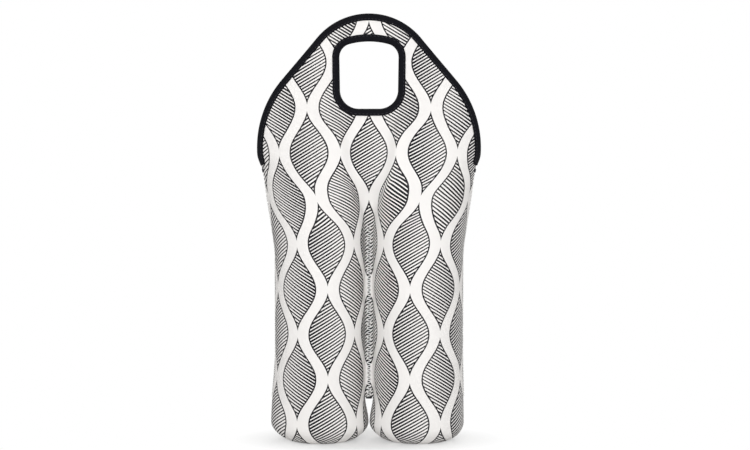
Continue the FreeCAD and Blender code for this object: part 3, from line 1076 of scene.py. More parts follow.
def new_piece(name: str, mesh: bpy.types.Mesh, *materials: bpy.types.Material) -> bpy.types.Object:
    """Puts a finished mesh in the scene as a smooth-shaded piece.

    Args:
        name: The piece's name.
        mesh: Its mesh, already in place.
        materials: Its material slots.

    Returns:
        The piece.
    """
    mesh.name = name
    for material in materials:
        mesh.materials.append(material)
    mesh.shade_smooth()
    piece = bpy.data.objects.new(name, mesh)
    bpy.context.scene.collection.objects.link(piece)
    return piece


def to_mesh(bm: bmesh.types.BMesh, name: str) -> bpy.types.Mesh:
    """Turns a mesh under construction into a finished one.

    Args:
        bm: The mesh under construction, which is freed.
        name: The finished mesh's name.

    Returns:
        The finished mesh.
    """
    mesh = bpy.data.meshes.new(name)
    bm.to_mesh(mesh)
    bm.free()
    return mesh


def face_side(bm: bmesh.types.BMesh, side: Side) -> None:
    """Mirrors a front mesh to its side and points its faces outward.

    Args:
        bm: The mesh, built for the front.
        side: The half that it belongs to.
    """
    if side is Side.BACK:
        bmesh.ops.scale(bm, vec=(1, -1, 1), verts=bm.verts)
        bmesh.ops.reverse_faces(bm, faces=bm.faces)


def thread_mesh(
    name: str, paths: list[list[Vector]], radius: float, closed: bool = False
) -> bpy.types.Mesh:
    """Lays round thread along smooth lines.

    Args:
        name: The mesh's name.
        paths: The points that each length of thread is led by.
        radius: Half the thread's thickness.
        closed: Whether each length joins up with itself.

    Returns:
        The threads as one mesh.
    """
    curve = bpy.data.curves.new(name, "CURVE")
    curve.dimensions = "3D"
    curve.bevel_depth = radius
    curve.bevel_resolution = 1
    curve.use_fill_caps = True
    for path in paths:
        spline = curve.splines.new("NURBS")
        spline.points.add(len(path) - 1)
        for point, spot in zip(spline.points, path):
            point.co = (*spot, 1.0)
        spline.order_u = 3
        spline.use_cyclic_u = closed
        spline.use_endpoint_u = not closed
        spline.resolution_u = 3
    holder = bpy.data.objects.new(name, curve)
    mesh = bpy.data.meshes.new_from_object(holder)
    bpy.data.objects.remove(holder)
    bpy.data.curves.remove(curve)
    mesh.materials.clear()
    return mesh


def squarish(part: float, power: float) -> float:
    """A sine or cosine moved outward, so that a circle becomes a rounded box."""
    return math.copysign(abs(part) ** power, part)


def flap_of(side: Side) -> Body:
    """The body of a half's flap."""
    return Body.FRONT_FLAP if side is Side.FRONT else Body.BACK_FLAP


def bend_with_flap(piece: bpy.types.Object, side: Side) -> None:
    """Bakes a piece's placement into its mesh.

    Args:
        piece: The piece, in place.
        side: The half that it belongs to; not used.
    """
    flap_of(side).value
    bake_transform(piece)


# Panels


@dataclass
class Panel:
    """One sheet of neoprene: half of two sleeves with closed feet, and the flap above them."""

    side: Side
    finishes: Finishes
    lobe_step: float = math.radians(2.5)
    lobe_steps: int = 72
    valley_steps: int = 8
    wall_steps: int = 6
    corner_steps: int = 12
    sole_steps: int = 6
    sleeve_rows: int = 92
    flap_rings: int = 38
    edge_steps: int = 110
    hole_middle: Point2 = (0.0, 0.328)
    hole_reach: float = 0.034
    ripple: float = 0.0005
    ripple_scale: float = 26.0
    ripple_shift: tuple[float, float, float] = (3.1, 7.7, 1.3)
    fine_ripple: float = 0.5
    fine_ripple_scale: float = 61.0
    sole_height: float = 0.004
    calm: float = 0.004
    flap_free: float = 0.03
    side_free: float = 0.02
    valley_free: float = 0.016
    seam_groove: float = 0.0008
    groove_floor: float = 0.0012
    groove_half_width: float = 0.0032
    crease_line: Track = Track((0.196, 0.226, 0.247, 0.302), (0.0100, 0.0195, 0.0240, 0.0310))
    crease_inner: float = 0.0070
    crease_outer: float = 0.0140
    right_crease: float = 0.0060
    left_crease: float = 0.0040
    hollow_share: float = 0.5
    pull_full: float = 0.3
    pull_fade: float = 0.75
    print_across: float = 0.01375
    back_print_up: float = 0.017

    @cached_property
    def shares(self) -> list[float]:
        """The share of the way to the side at which each column lies.

        Returns:
            Shares from 0 to 1, set where the feet part.
        """
        section = FORM.section(FORM.crotch)
        spots = [section.on_valley(i / self.valley_steps) for i in range(self.valley_steps + 1)]
        last = int(section.meet_angle / self.lobe_step)
        spots += [section.on_lobe(i * self.lobe_step) for i in range(last, -1, -1)]
        whole = section.girth(section.half_width, section.edge)
        return [section.girth(*spot) / whole for spot in spots]

    @property
    def columns(self) -> int:
        """How many faces the right half has across."""
        return len(self.shares) - 1

    @property
    def print_up(self) -> float:
        """How far the print of this half is moved up."""
        return self.back_print_up if self.side is Side.BACK else 0.0

    def column(self, section: Section, number: int) -> Point2:
        """A point across the right half of a section.

        Args:
            section: The section.
            number: Column from the middle, which runs up the panel as the threads of the cloth do.

        Returns:
            The point as X and outward distance.
        """
        return section.along(self.shares[number] * section.girth(section.half_width, section.edge))

    def sleeve(self, bm: bmesh.types.BMesh) -> None:
        """Adds the right half of the sleeves, from the crotch up to the fold line.

        Args:
            bm: The mesh under construction.
        """

        def place(column: int, row: int) -> Vector:
            """The place of a point, from its column and row.

            Args:
                column: Column from the middle.
                row: Row from the crotch.

            Returns:
                The point.
            """
            height = FORM.crotch + (FORM.fold - FORM.crotch) * row / self.sleeve_rows
            x, out = self.column(FORM.section(height), column)
            return Vector((x, -out, height))

        add_grid(bm, self.columns, self.sleeve_rows, place)

    def foot(self, bm: bmesh.types.BMesh) -> None:
        """Adds the right foot: a profile from its rim to the middle of its sole, turned half round.

        Args:
            bm: The mesh under construction.
        """
        section = FORM.section(FORM.crotch)
        radius, corner = section.lobe_radius, FORM.base_corner
        wall = FORM.crotch - corner
        profile = [(radius, FORM.crotch - i * wall / self.wall_steps) for i in range(self.wall_steps)]
        for i in range(self.corner_steps + 1):
            angle = math.radians(90 * i / self.corner_steps)
            profile.append((radius - corner * (1 - math.cos(angle)), corner * (1 - math.sin(angle))))
        sole = radius - corner
        profile += [(sole * (1 - i / self.sole_steps), 0.0) for i in range(1, self.sole_steps + 1)]
        verts = [bm.verts.new((section.centre + out, 0.0, height)) for out, height in profile]
        edges = [bm.edges.new(pair) for pair in zip(verts, verts[1:])]
        bmesh.ops.spin(
            bm,
            geom=verts + edges,
            cent=(section.centre, 0, 0),
            axis=(0, 0, 1),
            angle=-self.lobe_step * self.lobe_steps,
            steps=self.lobe_steps,
        )

    def flap(self, bm: bmesh.types.BMesh) -> None:
        """Adds the right half of the flap, between the handle hole and the fold line and arched edge.

        Args:
            bm: The mesh under construction.
        """
        fold = FORM.section(FORM.fold)
        rim = [(self.column(fold, i)[0], FORM.fold) for i in range(self.columns + 1)]
        rim += [EDGE.at(EDGE.half * i / self.edge_steps)[0] for i in range(1, self.edge_steps + 1)]
        rays = [math.atan2(z - self.hole_middle[1], x) for x, z in rim]
        hole = [HOLE.towards(ray, self.hole_middle) for ray in rays]
        hole[0], hole[-1] = (0.0, HOLE.bottom), (0.0, HOLE.top)

        def place(column: int, row: int) -> Vector:
            """The place of a point, from its column and row.

            Args:
                column: Column, going round the hole from its foot.
                row: Row from the hole to the rim.

            Returns:
                The point.
            """
            (x0, z0), (x1, z1) = hole[column], rim[column]
            share = row / self.flap_rings
            return FORM.point(x0 + share * (x1 - x0), z0 + share * (z1 - z0))

        add_grid(bm, len(rim) - 1, self.flap_rings, place)

    def lay_print(self, bm: bmesh.types.BMesh) -> None:
        """Sets the UV map: lengths across from the middle and up from the floor, in metres.

        Args:
            bm: The mesh, before the cloth settles.
        """
        layer = bm.loops.layers.uv.new("print")
        gathered = {vert: self.gathered(vert.co.x, vert.co.z) for vert in bm.verts}
        for face in bm.faces:
            centre_x = face.calc_center_median().x
            for loop in face.loops:
                u, v = self.cloth_place(loop.vert.co, math.copysign(1.0, centre_x))
                loop[layer].uv = (u + gathered[loop.vert] + self.print_across, v + self.print_up)

    def gathered(self, x: float, height: float, steps: int = 24) -> float:
        """How much more cloth lies between the middle and a point because of the creases.

        Args:
            x: Place across the panel.
            height: Height above the floor.
            steps: How finely the way is measured.

        Returns:
            The added length, with the sign of x.
        """
        pull = self.pull(height)
        if pull == 0.0:
            return 0.0
        section, line = FORM.section(height), self.crease_line.at(height)
        stations = [x * i / steps for i in range(steps + 1)]
        outs = [section.outward(station) for station in stations]
        rises = [pull * self.crease(station, line) for station in stations]
        added = 0.0
        for i in range(steps):
            slope = outs[i + 1] - outs[i]
            creased = slope + rises[i + 1] - rises[i]
            added += math.hypot(x / steps, creased) - math.hypot(x / steps, slope)
        return math.copysign(added, x)

    def cloth_place(self, spot: Vector, sign: float) -> Point2:
        """Where a point of the panel lies on the flat cloth.

        Args:
            spot: The point.
            sign: The side of the middle that its face is on.

        Returns:
            Lengths across and up.
        """
        section = FORM.section(max(spot.z, FORM.crotch))
        if spot.z >= FORM.crotch - WELD:
            return math.copysign(section.girth(spot.x, -spot.y), sign), spot.z
        across, out = abs(spot.x) - section.centre, -spot.y
        reach = math.hypot(across, out)
        crest = section.girth(section.centre, section.depth)
        u = crest + (math.pi / 2 - math.atan2(max(out, 0.0), across)) * reach
        flat = section.lobe_radius - FORM.base_corner
        v = spot.z
        if spot.z < FORM.base_corner:
            turn = math.atan2(FORM.base_corner - spot.z, max(reach - flat, 0.0))
            v = FORM.base_corner * (1 - turn) - max(flat - reach, 0.0)
        return math.copysign(u, sign), v

    def slack(self, spot: Vector) -> float:
        """How freely the cloth ripples at a point.

        Args:
            spot: The point, before the cloth settles.

        Returns:
            From 0 at the seams and tape to 1 between them.
        """
        if spot.z > FORM.fold:
            gap = abs(math.dist((spot.x, spot.z), self.hole_middle) - self.hole_reach)
            below_crown = smooth_step(0.0, self.flap_free, EDGE.crown - spot.z)
            return smooth_step(self.calm, self.flap_free, gap) * below_crown
        girth = abs(FORM.section(max(spot.z, FORM.crotch)).girth(spot.x, -spot.y))
        from_valley = smooth_step(self.calm, self.valley_free, girth)
        return smooth_step(self.calm, self.side_free, -spot.y) * from_valley

    def pull(self, height: float) -> float:
        """How strongly the cloth is pulled into creases.

        Args:
            height: Height above the floor.

        Returns:
            From 0 below the top of the valley and at the handle hole to 1 between them.
        """
        low, high = self.crease_line.heights[0], self.crease_line.heights[-1]
        share = (height - low) / (high - low)
        return smooth_step(0.0, self.pull_full, share) * (1 - smooth_step(self.pull_fade, 1.0, share))

    def crease(self, x: float, line: float) -> float:
        """How far the cloth stands out where it is pulled from the handle hole to the top of the valley.

        Args:
            x: Place across the panel.
            line: How far the two creases are from the middle.

        Returns:
            The distance at the full pull, negative between the two creases.
        """
        hollow = self.left_crease * math.exp(-((x / (self.hollow_share * line)) ** 2))
        rise = -self.hollow_share * hollow
        for sign, height in ((1, self.right_crease), (-1, self.left_crease)):
            past = sign * x - line
            width = self.crease_outer if past > 0 else self.crease_inner
            rise += height * math.exp(-((past / width) ** 2))
        return rise

    def swelling(self, spot: Vector) -> Vector:
        """How a point moves where a filled foot swells.

        Args:
            spot: The point, before the cloth settles.

        Returns:
            A level move, away from the middle of the foot.
        """
        level = Vector((abs(spot.x) - FORM.section(FORM.crotch).centre, spot.y, 0.0))
        if level.length <= WELD:
            return Vector((0.0, 0.0, 0.0))
        level = level.normalized() * FORM.swell(spot.x, spot.z)
        return Vector((math.copysign(1.0, spot.x) * level.x, level.y, 0.0))

    def rise(self, spot: Vector) -> float:
        """How far the cloth stands out in its creases and ripples, or sinks at the seam under a foot.

        Args:
            spot: The point, before the cloth settles.

        Returns:
            The distance along the normal.
        """
        rise = 0.0
        pull = self.pull(spot.z)
        if pull > 0.0:
            rise += pull * self.crease(spot.x, self.crease_line.at(spot.z))
        if spot.z > self.sole_height:
            ripple = noise.noise(spot * self.ripple_scale + Vector(self.ripple_shift))
            ripple += self.fine_ripple * noise.noise(spot * self.fine_ripple_scale)
            rise += self.ripple * ripple * self.slack(spot)
        if spot.z < FORM.crotch - WELD:
            rise -= self.seam_groove * (1 - smooth_step(self.groove_floor, self.groove_half_width, -spot.y))
        return rise

    def settle(self, bm: bmesh.types.BMesh) -> None:
        """Swells the filled feet, creases and ripples the cloth and sinks the seam under the feet.

        Args:
            bm: The mesh under construction.
        """
        bm.normal_update()
        moves = [self.swelling(vert.co) + vert.normal * self.rise(vert.co) for vert in bm.verts]
        for vert, move in zip(bm.verts, moves):
            vert.co += move
            vert.co.y = min(vert.co.y, -FORM.seam_gap)

    def build(self) -> bpy.types.Object:
        """Builds the sheet with its thickness and dresses it.

        Returns:
            The panel.
        """
        bm = bmesh.new()
        self.sleeve(bm)
        self.foot(bm)
        self.flap(bm)
        bmesh.ops.remove_doubles(bm, verts=bm.verts, dist=WELD)
        bmesh.ops.mirror(bm, geom=bm.verts[:] + bm.edges[:] + bm.faces[:], axis="X", merge_dist=WELD)
        bmesh.ops.recalc_face_normals(bm, faces=bm.faces)
        if sum(face.normal.y * face.calc_area() for face in bm.faces) > 0:
            bmesh.ops.reverse_faces(bm, faces=bm.faces)
        self.lay_print(bm)
        self.settle(bm)
        area = sum(face.calc_area() for face in bm.faces)
        face_side(bm, self.side)
        name = f"{self.side.prefix}_panel"
        piece = new_piece(name, to_mesh(bm, name), self.finishes.printed, self.finishes.lining)
        wall = piece.modifiers.new("neoprene", "SOLIDIFY")
        wall.thickness = FORM.sheet
        wall.offset = -1.0
        wall.use_even_offset = True
        wall.material_offset = 1
        wall.material_offset_rim = 1
        crotch = FORM.section(FORM.crotch)
        width = 2 * crotch.girth(crotch.half_width, 0.0)
        sole = FORM.base_corner * (math.pi / 2 - 1) + crotch.lobe_radius - FORM.base_corner
        EDGE.crown + sole
        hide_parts(f"{self.side.prefix}_sleeve_panel", f"{self.side.prefix}_handle_flap")
        bend_with_flap(piece, self.side)
        return piece


# Binding tape and its stitches


@dataclass
class Binding:
    """Tape folded over an edge of the flap and sewn down through all the layers."""

    side: Side
    finishes: Finishes
    kind: str
    outline: Outline
    start: float
    closed: bool
    leg: float = 0.0052
    tape: float = 0.00045
    proud: float = 0.0011
    leg_end: tuple[Point2, ...] = ((0.0, 0.12), (-0.00005, 0.55), (-0.0004, 0.88))
    stitch_dent: tuple[Point2, ...] = ((0.0006, 0.94), (0.0, 0.78), (-0.0006, 0.96))
    fold_steps: int = 10
    step: float = 0.0018
    end_round: float = 0.0045
    end_steps: int = 8
    stitch_inset: float = 0.0037
    stitch_pitch: float = 0.0033
    stitch_length: float = 0.0025
    stitch_width: float = 0.00058
    stitch_height: float = 0.82

    @property
    def length(self) -> float:
        """Length of the bound edge."""
        return 2 * self.outline.half - (0.0 if self.closed else 2 * self.start)

    @cached_property
    def marks(self) -> list[float]:
        """Distances along the edge at which the tape has points.

        Returns:
            Distances from the tape's start, closer to each other where its ends are rounded.
        """
        count = round(self.length / self.step)
        if self.closed:
            return [self.length * i / count for i in range(count + 1)]
        fine = [self.end_round * (i / self.end_steps) ** 2 for i in range(self.end_steps)]
        plain = self.length - 2 * self.end_round
        coarse = [self.end_round + plain * i / count for i in range(count + 1)]
        return fine + coarse + [self.length - near for near in reversed(fine)]

    @cached_property
    def profile(self) -> list[Point2]:
        """The tape's outer face across its fold, dented along the stitches.

        Returns:
            Distances in from the edge and off the front face.
        """
        leg = [(self.leg + shift, share * self.proud) for shift, share in self.leg_end]
        leg += [(self.stitch_inset + shift, share * self.proud) for shift, share in self.stitch_dent]
        half = FORM.sheet / 2
        reach = half + self.proud
        turn = [math.pi / 2 - math.pi * i / self.fold_steps for i in range(self.fold_steps + 1)]
        bend = [(half - reach * math.cos(angle), reach * math.sin(angle) - half) for angle in turn]
        back = [(inset, -FORM.sheet - lift) for inset, lift in reversed(leg)]
        return leg + bend + back

    def spot(self, distance: float, inset: float, lift: float) -> Vector:
        """A point near the bound edge of the front flap.

        Args:
            distance: Distance along the edge from the tape's start.
            inset: Distance in from the edge.
            lift: Distance off the outer face.

        Returns:
            The point.
        """
        (x, z), (out_x, out_z) = self.outline.at((distance + self.start) % (2 * self.outline.half))
        inward = -1.0 if self.closed else 1.0
        return FORM.point(x - inward * inset * out_x, z - inward * inset * out_z, lift)

    def place(self, column: int, row: int) -> Vector:
        """The place of a point of the tape.

        Args:
            column: Number of its mark along the edge.
            row: Number of its point on the profile.

        Returns:
            The point, drawn in towards the fold where an end is rounded.
        """
        distance = self.marks[column]
        inset, lift = self.profile[row]
        half = FORM.sheet / 2
        if not self.closed and inset > half:
            near = min(distance, self.length - distance, self.end_round) / self.end_round
            inset = half + (inset - half) * math.sqrt(near * (2 - near))
        return self.spot(distance, inset, lift)

    def build_tape(self) -> bpy.types.Object:
        """Builds the folded tape.

        Returns:
            The tape.
        """
        bm = bmesh.new()
        across = len(self.marks)
        widths = [0.0]
        for a, b in zip(self.profile, self.profile[1:]):
            widths.append(widths[-1] + math.dist(a, b))
        layer = bm.loops.layers.uv.new("tape")
        made = add_grid(bm, across - 1, len(self.profile) - 1, self.place)
        lengths = {vert: (self.marks[i % across], widths[i // across]) for i, vert in enumerate(made)}
        for face in bm.faces:
            for loop in face.loops:
                loop[layer].uv = lengths[loop.vert]
        if self.closed:
            bmesh.ops.remove_doubles(bm, verts=bm.verts, dist=WELD)
        bm.normal_update()
        tester = min(bm.faces, key=lambda face: face.calc_center_median().y)
        if tester.normal.y > 0:
            bmesh.ops.reverse_faces(bm, faces=bm.faces)
        face_side(bm, self.side)
        name = f"{self.side.prefix}_{self.kind}_tape"
        piece = new_piece(name, to_mesh(bm, name), self.finishes.tape)
        wall = piece.modifiers.new("tape", "SOLIDIFY")
        wall.thickness = self.tape
        wall.offset = -1.0
        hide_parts(f"{self.side.prefix}_{self.kind}_binding")
        bend_with_flap(piece, self.side)
        return piece

    def stitch(self, bm: bmesh.types.BMesh, distance: float, lift: float) -> None:
        """Adds one stitch.

        Args:
            bm: The mesh under construction.
            distance: Distance of its middle along the edge.
            lift: Distance off the outer face.
        """
        half = self.stitch_length / 2
        start, end = (self.spot(distance + reach, self.stitch_inset, lift) for reach in (-half, half))
        run = end - start
        turn = run.to_track_quat("X", "Z").to_matrix().to_4x4()
        size = Matrix.Diagonal((run.length, self.stitch_width, self.stitch_width, 1.0))
        place = Matrix.Translation((start + end) / 2) @ turn @ size
        bmesh.ops.create_icosphere(bm, subdivisions=1, radius=0.5, matrix=place)

    def build_stitches(self) -> bpy.types.Object:
        """Builds the stitches along the tape, on its outer and its inner face.

        Returns:
            The stitches.
        """
        bm = bmesh.new()
        free = 0.0 if self.closed else self.end_round / 2
        sewn = self.length - 2 * free
        count = round(sewn / self.stitch_pitch)
        outside = self.stitch_height * self.proud
        for lift in (outside, -FORM.sheet - outside):
            for i in range(count):
                self.stitch(bm, free + sewn * (i + 0.5) / count, lift)
        face_side(bm, self.side)
        name = f"{self.side.prefix}_{self.kind}_stitches"
        piece = new_piece(name, to_mesh(bm, name), self.finishes.dark_thread)
        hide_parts(f"{self.side.prefix}_{self.kind}_stitching")
        bend_with_flap(piece, self.side)
        return piece


@dataclass
class EdgeBinding(Binding):
    """The tape over the arched edge, which ends a little above the fold line on both sides."""

    kind: str = "edge"
    outline: Outline = EDGE
    start: float = 0.0034
    closed: bool = False


@dataclass
class HandleBinding(Binding):
    """The tape round the handle hole, which joins up with itself."""

    kind: str = "handle"
    outline: Outline = HOLE
    start: float = 0.0
    closed: bool = True


# Seams and tacks


@dataclass
class Seams:
    """The zigzag seams that hold the two panels together."""

    finishes: Finishes
    thread: float = 0.00044
    pitch: float = 0.0038
    turn_share: float = 0.12
    centre_width: float = 0.0040
    side_width: float = 0.0046
    centre_low: float = 0.0005
    side_low: float = 0.0008
    centre_top: float = 0.194
    side_top: float = 0.2416
    lift: float = 0.00034
    sunk: float = 0.0005

    def dress(self, name: str, path: list[Vector], node: str) -> bpy.types.Object:
        """Lays the thread of one seam and puts it on the sleeves.

        Args:
            name: The piece's name.
            path: The corners of the zigzag.
            node: The CAD node that it stands for.

        Returns:
            The seam.
        """
        piece = new_piece(name, thread_mesh(name, [path], self.thread), self.finishes.pale_thread)
        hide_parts(node)
        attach(piece, Body.SLEEVES.value)
        return piece

    def corners(self, length: float, width: float) -> list[Point2]:
        """The corners of a zigzag, with two points at each so that the thread turns in a small loop.

        Args:
            length: Length of the seam.
            width: Width of the zigzag.

        Returns:
            Distances along the seam and to either side of it.
        """
        count = int(length / self.pitch) * 2
        turn = self.turn_share * self.pitch
        spots = []
        for i in range(count + 1):
            along, across = length * i / count, width / 2 * (1 if i % 2 else -1)
            spots += [(along - turn, across), (along + turn, across)]
        return spots

    def centre(self, side: Side) -> bpy.types.Object:
        """Builds the seam down the valley of one panel.

        Args:
            side: The panel's half.

        Returns:
            The seam.
        """
        low = FORM.crotch + self.centre_low
        path = []
        for along, across in self.corners(self.centre_top - low, self.centre_width):
            spot = FORM.point(across, low + along, self.lift)
            path.append(Vector((spot.x, -side.value * spot.y, spot.z)))
        return self.dress(f"{side.prefix}_centre_zigzag", path, f"{side.prefix}_centre_seam")

    def side(self, flank: Flank) -> bpy.types.Object:
        """Builds the seam up one side, over the edges of both panels.

        Args:
            flank: The side.

        Returns:
            The seam.
        """
        low = FORM.crotch + self.side_low
        path = []
        for along, across in self.corners(self.side_top - low, self.side_width):
            section = FORM.section(low + along)
            swell = FORM.swell(flank.value * section.half_width, low + along)
            x = section.beside_edge(across, swell + self.lift)
            path.append(Vector((flank.value * x, across, low + along)))
        return self.dress(f"{flank.prefix}_side_zigzag", path, f"{flank.prefix}_side_seam")

    def base(self, flank: Flank) -> bpy.types.Object:
        """Builds the seam under one foot, sunk where the panels meet.

        Args:
            flank: The foot's side.

        Returns:
            The seam.
        """
        section = FORM.section(FORM.crotch)
        radius, corner = section.lobe_radius - self.sunk, FORM.base_corner
        turn = corner - self.sunk
        wall, flat = FORM.crotch - corner, section.lobe_radius - corner
        bend = turn * math.pi / 2
        whole = 2 * (wall + bend + flat)
        path = []
        for along, across in self.corners(whole, self.side_width):
            part = min(along, whole - along)
            sign = 1.0 if along < whole / 2 else -1.0
            if part < wall:
                out, height = radius, FORM.crotch - part
            elif part < wall + bend:
                angle = (part - wall) / turn
                out = flat + turn * math.cos(angle)
                height = corner - turn * math.sin(angle)
            else:
                out, height = flat - (part - wall - bend), self.sunk
            swell = FORM.swell(flank.value * (section.centre + sign * out), height)
            x = section.centre + sign * (out + swell)
            path.append(Vector((flank.value * x, across, height)))
        return self.dress(f"{flank.prefix}_base_zigzag", path, f"{flank.prefix}_base_seam")


@dataclass
class Tacks:
    """The bars of close black stitches at the ends of the seams."""

    finishes: Finishes
    thread: float = 0.00028
    crotch_width: float = 0.0054
    crotch_depth: float = 0.0106
    crotch_height: float = 0.0017
    crotch_gap: float = 0.00005
    crotch_taper: float = 0.0012
    wrap_pitch: float = 1.7
    wrap_steps: int = 20
    wrap_along: float = 0.45
    wrap_up: float = 0.6
    sway: float = 0.0001
    sway_waves: int = 5
    mouth_width: float = 0.0062
    mouth_height: float = 0.0032
    mouth_pitch: float = 1.6
    mouth_lifts: Point2 = (0.00015, 0.00045)
    mouth_sunk: float = 0.0006
    mouth_steps: int = 8

    def dress(self, name: str, mesh: bpy.types.Mesh, node: str) -> bpy.types.Object:
        """Dresses one tack and puts it on the sleeves.

        Args:
            name: The piece's name.
            mesh: The tack's threads.
            node: The CAD node that it stands for.

        Returns:
            The tack.
        """
        piece = new_piece(name, mesh, self.finishes.dark_thread)
        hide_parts(node)
        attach(piece, Body.SLEEVES.value)
        return piece

    def crotch(self) -> bpy.types.Object:
        """Builds the bar under the foot of the centre seam: threads wrapped round and round it.

        Returns:
            The tack.
        """
        loops = []
        count = int(self.crotch_width / (self.wrap_pitch * self.thread))
        middle = FORM.crotch - self.crotch_gap - self.crotch_height / 2
        high = self.crotch_height / 2 - self.thread
        for i in range(count):
            x = self.crotch_width * ((i + 0.5) / count - 0.5)
            taper = self.crotch_taper * abs(2 * x / self.crotch_width) ** 3
            deep = self.crotch_depth / 2 - self.thread - taper
            ring = []
            for k in range(self.wrap_steps):
                angle = math.tau * k / self.wrap_steps
                swayed = x + self.sway * math.sin(self.sway_waves * angle + i)
                along = deep * squarish(math.cos(angle), self.wrap_along)
                height = middle + high * squarish(math.sin(angle), self.wrap_up)
                ring.append(Vector((swayed, along, height)))
            loops.append(ring)
        mesh = thread_mesh("crotch_tack", loops, self.thread, closed=True)
        return self.dress("crotch_tack", mesh, "crotch_bar_tack")

    def mouth(self, flank: Flank) -> bpy.types.Object:
        """Builds the bar at the top of a side seam: threads laid across both panels.

        Args:
            flank: The seam's side.

        Returns:
            The tack.
        """
        threads = []
        rows = int(self.mouth_height / (self.mouth_pitch * self.thread))
        for layer, lift in enumerate(self.mouth_lifts):
            for i in range(rows):
                height = FORM.fold - self.mouth_height * (i + 0.5 + 0.5 * layer) / (rows + 0.5)
                threads.append(self.mouth_thread(flank, height, lift))
        name = f"{flank.prefix}_mouth_bar"
        return self.dress(name, thread_mesh(name, threads, self.thread), f"{flank.prefix}_mouth_tack")

    def mouth_thread(self, flank: Flank, height: float, lift: float) -> list[Vector]:
        """One thread across the top of a side seam, with its ends sunk in the cloth.

        Args:
            flank: The seam's side.
            height: Height above the floor.
            lift: Distance off the panels.

        Returns:
            The points that the thread is led by.
        """
        section = FORM.section(height)
        path = []
        for k in range(self.mouth_steps + 1):
            across = self.mouth_width * (k / self.mouth_steps - 0.5)
            sunk = self.mouth_sunk if k in (0, self.mouth_steps) else 0.0
            path.append(Vector((flank.value * section.beside_edge(across, lift - sunk), across, height)))
        return path


# Studio


@dataclass(frozen=True)
class Lamp:
    """A soft square lamp."""

    name: str
    power: float
    width: float
    place: tuple[float, float, float]

    def build(self, aim: Vector) -> None:
        """Adds the lamp.

        Args:
            aim: What it points at.
        """
        data = bpy.data.lights.new(self.name, "AREA")
        data.energy = self.power
        data.size = self.width
        lamp = bpy.data.objects.new(self.name, data)
        lamp.location = self.place
        lamp.rotation_euler = (aim - Vector(self.place)).to_track_quat("-Z", "Y").to_euler()
        bpy.context.scene.collection.objects.link(lamp)


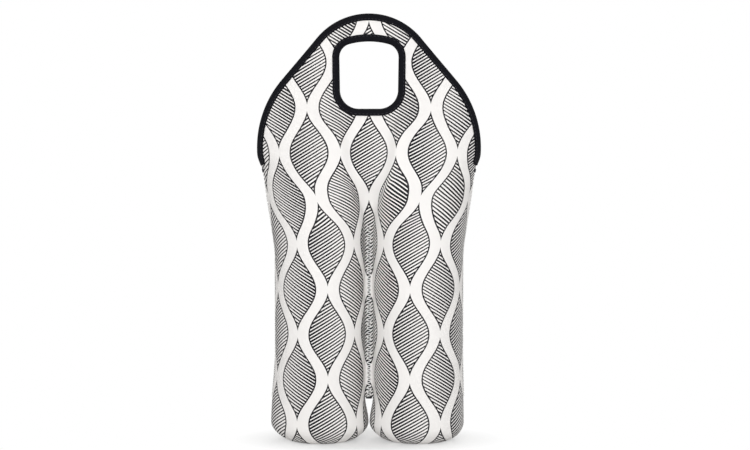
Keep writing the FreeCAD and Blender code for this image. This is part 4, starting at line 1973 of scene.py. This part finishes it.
@dataclass
class Studio:
    """Plain pale floor, soft light, and a camera at the photograph's place."""

    frame_px: Point2 = (750.0, 450.0)
    metres_per_px: float = 0.0009
    middle_px: float = 369.0
    floor_px: float = 441.0
    distance: float = 1.70
    elevation: float = math.radians(4.0)
    sensor: float = 36.0
    ambient: float = 0.44
    key: Lamp = Lamp("key_lamp", 26.0, 0.9, (-0.18, -2.1, 0.75))
    fill: Lamp = Lamp("fill_lamp", 3.0, 1.2, (1.3, -1.2, 0.8))
    back: Lamp = Lamp("back_lamp", 25.0, 1.0, (0.3, 2.0, 0.9))
    lamp_aim: tuple[float, float, float] = (0.0, 0.0, 0.2)
    floor_size: float = 8.0
    floor_cells: int = 8
    floor_colour: Colour = (0.86, 0.855, 0.845, 1.0)
    near_white: float = 0.40
    fade_squeeze: tuple[float, float, float] = (0.60, 1.0, 1.0)
    fade_start: float = 0.037
    fade_width: float = 0.036

    def floor(self) -> None:
        """Adds the floor, whose far part shows white while its near part keeps the shadow."""
        bm = bmesh.new()
        cells = self.floor_cells
        bmesh.ops.create_grid(bm, x_segments=cells, y_segments=cells, size=self.floor_size / 2)
        g = Graph.of_material("studio_floor")
        floor = new_piece("studio_floor", to_mesh(bm, "studio_floor"), g.owner)
        inputs = {0: g.place(), 1: self.fade_squeeze}
        near = g.node("ShaderNodeVectorMath", {"operation": "MULTIPLY"}, inputs).outputs[0]
        length = g.node("ShaderNodeVectorMath", {"operation": "LENGTH"}, {0: near}).outputs["Value"]
        far = ((Number(g, length) - self.fade_start) / self.fade_width).most(0.0).least(1.0)
        share = g.seen() * (self.near_white + far * (1 - self.near_white))
        matte = g.node("ShaderNodeBsdfDiffuse", {}, {"Color": self.floor_colour})
        white = g.node("ShaderNodeEmission", {}, {"Color": WHITE, "Strength": 1.0})
        both = g.node("ShaderNodeMixShader", {}, {0: share, 1: matte.outputs[0], 2: white.outputs[0]})
        g.node("ShaderNodeOutputMaterial", {}, {"Surface": both.outputs[0]})

    def world(self) -> None:
        """Sets an even pale surround that the camera sees as white."""
        g = Graph(bpy.data.worlds.new("studio"))
        strength = self.ambient + g.seen() * (1 - self.ambient)
        surround = g.node("ShaderNodeBackground", {}, {"Color": WHITE, "Strength": strength})
        g.node("ShaderNodeOutputWorld", {}, {"Surface": surround.outputs[0]})
        bpy.context.scene.world = g.owner

    def camera(self) -> None:
        """Adds the camera, so that the object fills the frame as it does in the photograph."""
        width = self.frame_px[0] * self.metres_per_px
        aim = Vector(
            (
                (self.frame_px[0] / 2 - self.middle_px) * self.metres_per_px,
                0.0,
                (self.floor_px - self.frame_px[1] / 2) * self.metres_per_px,
            )
        )
        data = bpy.data.cameras.new("photo_camera")
        data.sensor_width = self.sensor
        data.lens = self.sensor * self.distance / width
        camera = bpy.data.objects.new("photo_camera", data)
        back = Vector((0.0, -math.cos(self.elevation), math.sin(self.elevation)))
        camera.location = aim + self.distance * back
        camera.rotation_euler = (-back).to_track_quat("-Z", "Y").to_euler()
        bpy.context.scene.collection.objects.link(camera)
        bpy.context.scene.camera = camera

    def build(self) -> None:
        """Sets the whole stage."""
        bpy.context.scene.view_settings.view_transform = "Standard"
        self.floor()
        self.world()
        for lamp in (self.key, self.fill, self.back):
            lamp.build(Vector(self.lamp_aim))
        self.camera()


def main() -> None:
    """Builds the pieces in order."""
    logging.basicConfig(level=logging.INFO, format="%(message)s")
    finishes = Finishes()
    for side in Side:
        panel = Panel(side, finishes).build()
        LOG.info("%s: one sheet over sleeves, feet and flap", panel.name)
        for binding in (EdgeBinding(side, finishes), HandleBinding(side, finishes)):
            for piece in (binding.build_tape(), binding.build_stitches()):
                LOG.info("%s: bends with the flap", piece.name)
    seams, tacks = Seams(finishes), Tacks(finishes)
    sewn = [seams.centre(side) for side in Side]
    sewn += [make(flank) for make in (seams.side, seams.base, tacks.mouth) for flank in Flank]
    sewn.append(tacks.crotch())
    for piece in sewn:
        LOG.info("%s: sewn to the sleeves", piece.name)
    Studio().build()


if __name__ == "__main__":
    main()
